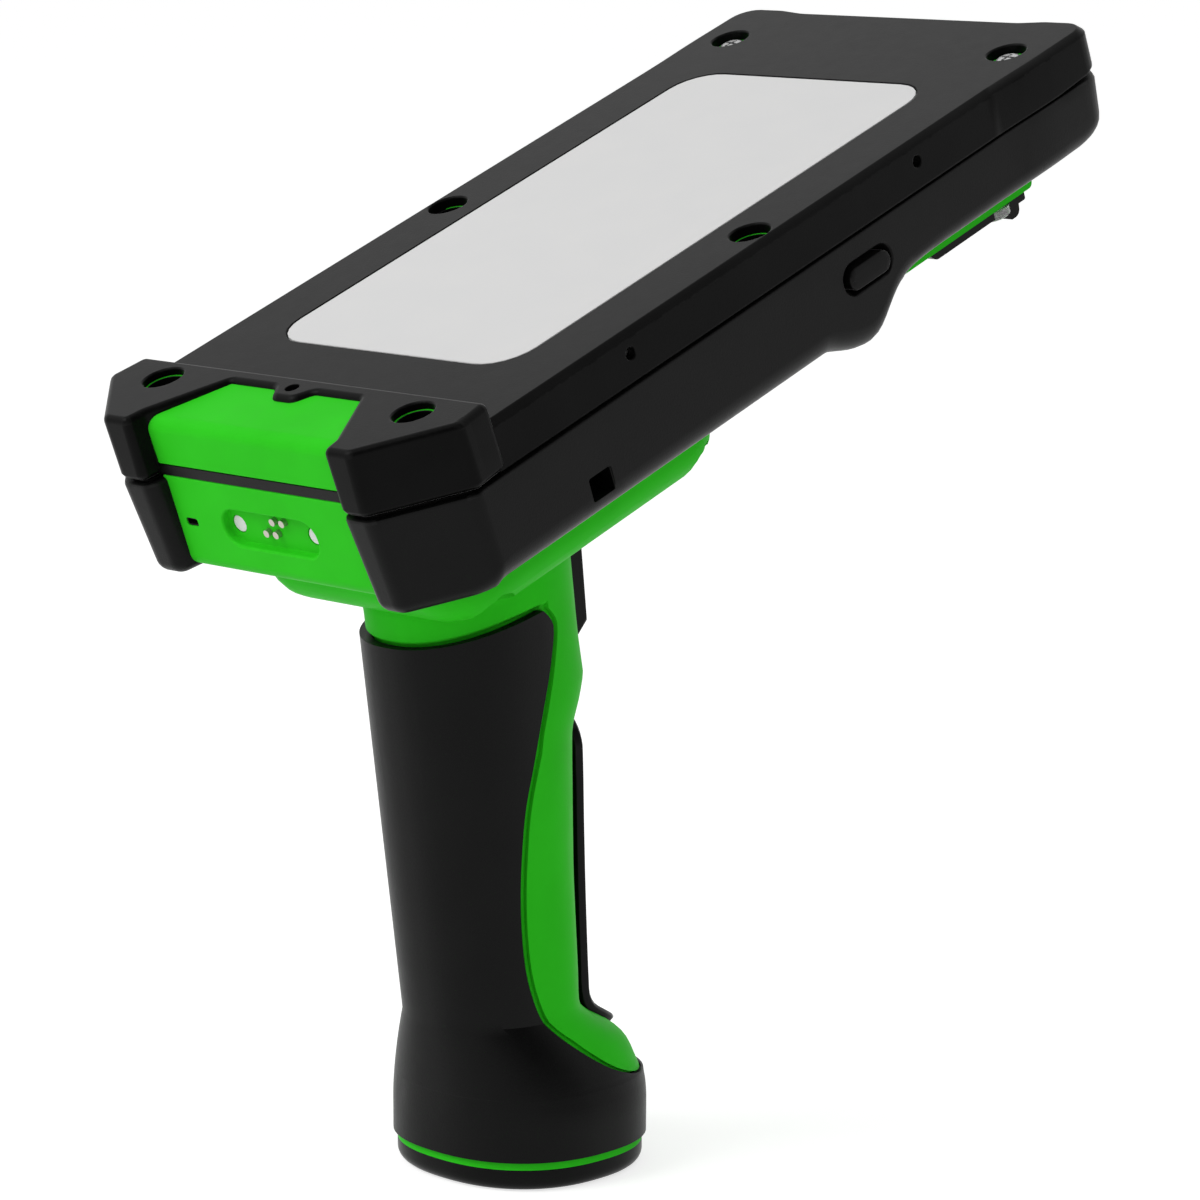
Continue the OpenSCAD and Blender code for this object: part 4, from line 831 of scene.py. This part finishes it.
def core_row(e):
    """Closed ring of the green core: open front, a ledge at the sleeve's edge, and the part under it."""
    z0 = e[1]
    start = angle_at(z0, min(e[0] + EDGE_GAP, sizes(z0)[3] - 0.3))
    toe = mix(-2.6, mix(-0.7, FLUSH, ease((z0 - 17) / 8)), ease((z0 - 15.4) / 1.8))
    ring = [(a, toe - LEDGE * ledge) for a, ledge in opening(start)]
    under = covered(start)
    depths = [-1.3, -1.9] + [HIDDEN] * (len(under) - 4) + [-1.9, -1.3]
    ring += [(a, min(toe, d)) for a, d in zip(under, depths)]
    return [grip_point(row_height(e, grip_point(z0, a).y), a, d) for a, d in ring]


core = bmesh.new()
rows = [core_row((18, z, z)) for z in (BAND_TOP, 12, 15)]
rows += [core_row(e) for e in EDGE[4:]]


def plane(y):
    """Height of the saddle's underside at y."""
    return 116.48 + 0.3887 * (y + 12)


# Neck: from the sleeve's top edge over a groove, then up into the saddle with a flare
GROOVE, GROOVE_ROWS, NECK_ROWS = 1.5, 4, 12
FLARE = 5.0
last = EDGE[-1]
start = angle_at(last[1], last[0] + EDGE_GAP)
angles = opening(start) + [(a, 1) for a in covered(start)]
for k in range(1, GROOVE_ROWS + NECK_ROWS + 2):
    ring = []
    for a, ledge in angles:
        p0 = grip_point(last[1], a)
        low = row_height(last, p0.y)
        rim = low + GROOVE
        top = plane(p0.y) + 0.6
        d = mix(FLUSH, -1.2, ease((-7.5 - p0.y) / 16))
        if k <= GROOVE_ROWS:
            z = mix(low, rim, k / GROOVE_ROWS)
            floor = HIDDEN if p0.y < last[0] - 0.2 else FLUSH - LEDGE * ledge
            d = mix(floor, d, ease((k - 1) / (GROOVE_ROWS - 1)))
        else:
            z = mix(rim + 0.04, top, (k - GROOVE_ROWS - 1) / NECK_ROWS)
        flare = FLARE * (1 - sqrt(max(0.0, 1 - max(0.0, 1 - (top - z) / FLARE) ** 2)))
        flare *= ease((8 - p0.y) / 22) * ease((p0.y + 34) / 14)
        ring.append(Vector((*grip_point(z, a, d + flare)[:2], z)))
    rows.append(ring)
rows.append([p + Vector((0, 0, 4)) for p in rows[-1]])
loft(core, rows)
trigger_slot = prism(rect(-6.1, -6, 6.1, 20), 96, 140)
make("grip_frame", boolean(core, [trigger_slot]), ROW, GREEN, "case", ["grip_core_left", "grip_core_right"],
     sharp=45)

# Saddle between the handle and the case, rounded along its lower edge
saddle_r, draft = 8, 0.35
saddle = bmesh.new()
levels = [(0, -29.1), (0, -32), (draft, -34.5)]
levels += [(draft + saddle_r * (1 - cos(g)), -34.8 - saddle_r * sin(g)) for g in (pi / 16 * k for k in range(1, 9))]
stack(saddle, rect(-29, -79.5, 29, -5, 12), levels[::-1])
bores = [moved(prism(circle(4.5), -50, -34.2), at(u, v)) for u in (23, -23) for v in (-68, -14)]
make("saddle_body", boolean(saddle, bores), SLAB, GREEN, "case", ["saddle"])


# Finger pad, trigger and base

PAD_HALF, PAD_THICK = 8.5, 2.6
SHOULDER, SHOULDER_DROP, CROWN = 0.86, 0.7, 0.35  # where the pad's sides start to fall, by how much, and its crown

pad = bmesh.new()
spine = spline([(17.9, 23.9), (19.0, 24.6), (18.0, 25.7), (14.6, 27.6), (12.3, 29.1), (11.2, 31.0), (10.95, 33.6),
                (10.6, 40), (10.1, 52), (9.75, 64), (9.55, 74), (9.3, 79.5), (8.8, 83), (8.0, 84.8)], 1.2)
rows = []
for i, p in enumerate(spine):
    t = (spine[min(i + 1, len(spine) - 1)] - spine[max(i - 1, 0)]).normalized()
    out = Vector((t.y, -t.x))
    low = ease((i + 1) / 6)
    end = ease((len(spine) - i) / 7)
    half = PAD_HALF * mix(0.75, 1, low) * mix(0.72, 1, end)
    ring = []
    for k in range(25):
        x = mix(-1, 1, k / 24)
        fall = max(0.0, abs(x) - SHOULDER) / (1 - SHOULDER)
        q = p - out * (SHOULDER_DROP * (1 - sqrt(max(0.0, 1 - fall ** 2))) + CROWN * x * x)
        ring.append(Vector((x * half, q.x, q.y)))
    under = p - out * PAD_THICK
    ring += [Vector((mix(1, -1, k / 6) * half * 0.96, under.x, under.y)) for k in range(7)]
    rows.append(ring)
loft(pad, rows)
make("pad_grip", pad, ROW, RUBBER, "case", ["finger_pad"], 0.3, 2, 50, 50)

PIVOT = at(0, 2.5, 116) @ Matrix.Rotation(pi / 2, 4, "Y")
TRIGGER_HALF, AXLE_HALF, AXLE_EDGE = 5.5, 8.4, 0.25
blade = rounded([(4.2, 120, 1), (10.8, 121.5, 1), (12.2, 108, 8), (12.9, 101.2, 0.8), (9.3, 97.2, 0.7),
                 (8.6, 97.6, 0.5), (7.8, 101, 3), (6.6, 108, 4), (4.0, 113, 2)][::-1], 6)
trigger = bmesh.new()
rounding = [(TRIGGER_HALF, 0.81), (5.35, 0.315), (4.9, 0.045), (3, 0)]
sections = [(-x, d) for x, d in rounding] + [(0, -0.108)] + rounding[::-1]
loft(trigger, [[Vector((x, p.x, p.y)) for p in inset(blade, d)] for x, d in sections])
hub = moved(prism(circle(4.1), -TRIGGER_HALF, TRIGGER_HALF), PIVOT)
make("trigger_blade", join(trigger, hub), ROW, BLACK, "trigger", ["trigger"])
axle = bmesh.new()
stack(axle, circle(1.5, 32), [(AXLE_EDGE, -AXLE_HALF), (0, AXLE_EDGE - AXLE_HALF), (0, AXLE_HALF - AXLE_EDGE),
                              (AXLE_EDGE, AXLE_HALF)])
make("trigger_axle", moved(axle, PIVOT), ROW, STEEL, "case", ["trigger_pin"])


def foot(d, z, n=96):
    """The handle's outline at its foot, drawn in by d and set at height z."""
    return [Vector((*grip_point(BAND_TOP, 2 * pi * j / n, -d)[:2], z)) for j in range(n)]


BASE_IN, BASE_R = 0.75, 2.4
ring = bmesh.new()
loft(ring, [foot(d, z) for d, z in ((0.8, 4.2), (BASE_IN, 4.45), (BASE_IN, 5.5), (1.2, BAND_TOP))])
make("base_band", ring, ROW, GREEN, "case", ["base_ring"])
cap = bmesh.new()
levels = [(BASE_IN + BASE_R * (1 - cos(g)), BASE_R - BASE_R * sin(g)) for g in (pi / 12 * k for k in range(6, -1, -1))]
loft(cap, [foot(d, z) for d, z in levels + [(BASE_IN, 3.9), (0.9, 4.25), (1.3, 4.35)]])
seats = [moved(prism(circle(2.6, 32), -1, 2.6), at(s * 14.5, 0)) for s in SIDES]
make("base_plate", boolean(cap, seats), ROW, BLACK, "case", ["base_cap"])


# CAD parts that stay as they are: a finish and the width of their rounded edges

FINISH = {
    "window_seal": (RUBBER, 0.1), "side_pins": (STEEL, 0.2), "split_seal": (RUBBER, 0.2),
    "phone_tray": (BLACK, 0.2), "dock_connector": (BLACK, 0.25), "main_board": (BOARD, 0.1),
    "charge_board": (BOARD, 0.1), "charge_pins": (PIN, 0.2), "screw_inserts": (BRASS, 0.15),
    "power_switch": (STEEL, 0.2), "scan_engine": (BLACK, 0.3), "scan_window": (GLASS, 0.15),
    "saddle_screws": (STEEL, 0.2), "grip_screws": (STEEL, 0.2), "base_screws": (STEEL, 0.2),
    "battery_cell": (CELL, 0.6), "cell_contacts": (STEEL, 0.2), "trigger_spring": (STEEL, 0.0),
    "trigger_switch": (BLACK, 0.2),
}
for name, (material, width) in FINISH.items():
    dress(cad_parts[name], material, width)


# Floor, light and camera

def lit_from_afar(tree, lamp, seen):
    """Mixes two shaders: one for light that falls on the object, one for rays that look at the background."""
    path = tree.nodes.new("ShaderNodeLightPath")
    total = path.outputs["Is Camera Ray"]
    for other in ("Is Glossy Ray", "Is Transmission Ray"):
        add = tree.nodes.new("ShaderNodeMath")
        add.operation = "MAXIMUM"
        tree.links.new(total, add.inputs[0])
        tree.links.new(path.outputs[other], add.inputs[1])
        total = add.outputs[0]
    both = tree.nodes.new("ShaderNodeMixShader")
    tree.links.new(total, both.inputs[0])
    tree.links.new(lamp, both.inputs[1])
    tree.links.new(seen, both.inputs[2])
    return both.outputs[0]


# White world. What glossy surfaces mirror is darker above the camera's side, as in a studio.
TO_CAMERA, UP = (0.71, -0.71, 0), (0, 0, 1)
WORLD_LIGHT, DARKEST = 0.5, 0.1
world = bpy.data.worlds.new("studio")
bpy.context.scene.world = world
world.use_nodes = True
tree = world.node_tree
lamp = tree.nodes["Background"]
lamp.inputs["Color"].default_value, lamp.inputs["Strength"].default_value = (1, 1, 1, 1), WORLD_LIGHT
seen = tree.nodes.new("ShaderNodeBackground")
seen.inputs["Color"].default_value = (1, 1, 1, 1)
way = tree.nodes.new("ShaderNodeTexCoord")


def part_of(direction, low, high):
    """0 to 1 as a ray turns towards a direction."""
    dot = tree.nodes.new("ShaderNodeVectorMath")
    dot.operation = "DOT_PRODUCT"
    dot.inputs[1].default_value = direction
    tree.links.new(way.outputs["Generated"], dot.inputs[0])
    span = tree.nodes.new("ShaderNodeMapRange")
    span.interpolation_type = "SMOOTHSTEP"
    span.inputs["From Min"].default_value, span.inputs["From Max"].default_value = low, high
    tree.links.new(dot.outputs["Value"], span.inputs["Value"])
    return span.outputs["Result"]


room, fade = tree.nodes.new("ShaderNodeMath"), tree.nodes.new("ShaderNodeMapRange")
room.operation = "MULTIPLY"
tree.links.new(part_of(TO_CAMERA, -0.1, 0.4), room.inputs[0])
tree.links.new(part_of(UP, -0.05, 0.22), room.inputs[1])
tree.links.new(room.outputs[0], fade.inputs["Value"])
fade.inputs["To Min"].default_value, fade.inputs["To Max"].default_value = 1.0, DARKEST
plain = tree.nodes.new("ShaderNodeMath")
plain.operation = "MAXIMUM"
tree.links.new(fade.outputs["Result"], plain.inputs[0])
tree.links.new(tree.nodes.new("ShaderNodeLightPath").outputs["Is Camera Ray"], plain.inputs[1])
tree.links.new(plain.outputs[0], seen.inputs["Strength"])
tree.links.new(lit_from_afar(tree, lamp.outputs[0], seen.outputs[0]), tree.nodes["World Output"].inputs["Surface"])

# Floor: paper for the light that falls on it, and a glow that keeps the object's shadow for rays that look at it
FLOOR = 30
floor_mesh = bpy.data.meshes.new("floor")
corners = [(-FLOOR, -FLOOR, 0), (FLOOR, -FLOOR, 0), (FLOOR, FLOOR, 0), (-FLOOR, FLOOR, 0)]
floor_mesh.from_pydata(corners, [], [(0, 1, 2, 3)])
floor = bpy.data.objects.new("floor", floor_mesh)
bpy.context.scene.collection.objects.link(floor)
mat = bpy.data.materials.new("pale_floor")
mat.use_nodes = True
tree = mat.node_tree
paper = tree.nodes["Principled BSDF"]
paper.inputs["Base Color"].default_value = (*grey(0.92), 1)
paper.inputs["Roughness"].default_value = 0.9
paper.inputs["Specular IOR Level"].default_value = 0.0
shade = tree.nodes.new("ShaderNodeBsdfDiffuse")
shade.inputs["Color"].default_value = (*grey(0.6), 1)
glow = tree.nodes.new("ShaderNodeEmission")
glow.inputs["Strength"].default_value = 0.7
both = tree.nodes.new("ShaderNodeAddShader")
tree.links.new(shade.outputs[0], both.inputs[0])
tree.links.new(glow.outputs[0], both.inputs[1])
tree.links.new(lit_from_afar(tree, paper.outputs[0], both.outputs[0]), tree.nodes["Material Output"].inputs["Surface"])
floor_mesh.materials.append(mat)


AIM = Vector((0, 0, 0.15))


def area(name, place, size, watts):
    """Square lamp that faces the middle of the object."""
    light = bpy.data.lights.new(name, "AREA")
    light.size, light.energy = size, watts
    obj = bpy.data.objects.new(name, light)
    obj.location = place
    obj.rotation_euler = (AIM - Vector(place)).to_track_quat("-Z", "Y").to_euler()
    bpy.context.scene.collection.objects.link(obj)
    return obj


area("key", (-0.35, -0.9, 0.95), 0.7, 7.5)
area("top", (0.1, 0.1, 1.3), 1.0, 1.7).visible_glossy = False

camera = bpy.data.objects.new("camera", bpy.data.cameras.new("camera"))
camera.location = (0.585593, -0.564591, 0.249371)
camera.rotation_euler = (radians(79.99244), 0, radians(44.98417))
camera.data.lens, camera.data.sensor_width = 135.093, 36
bpy.context.scene.collection.objects.link(camera)
bpy.context.scene.camera = camera
bpy.context.scene.view_settings.view_transform = "Standard"
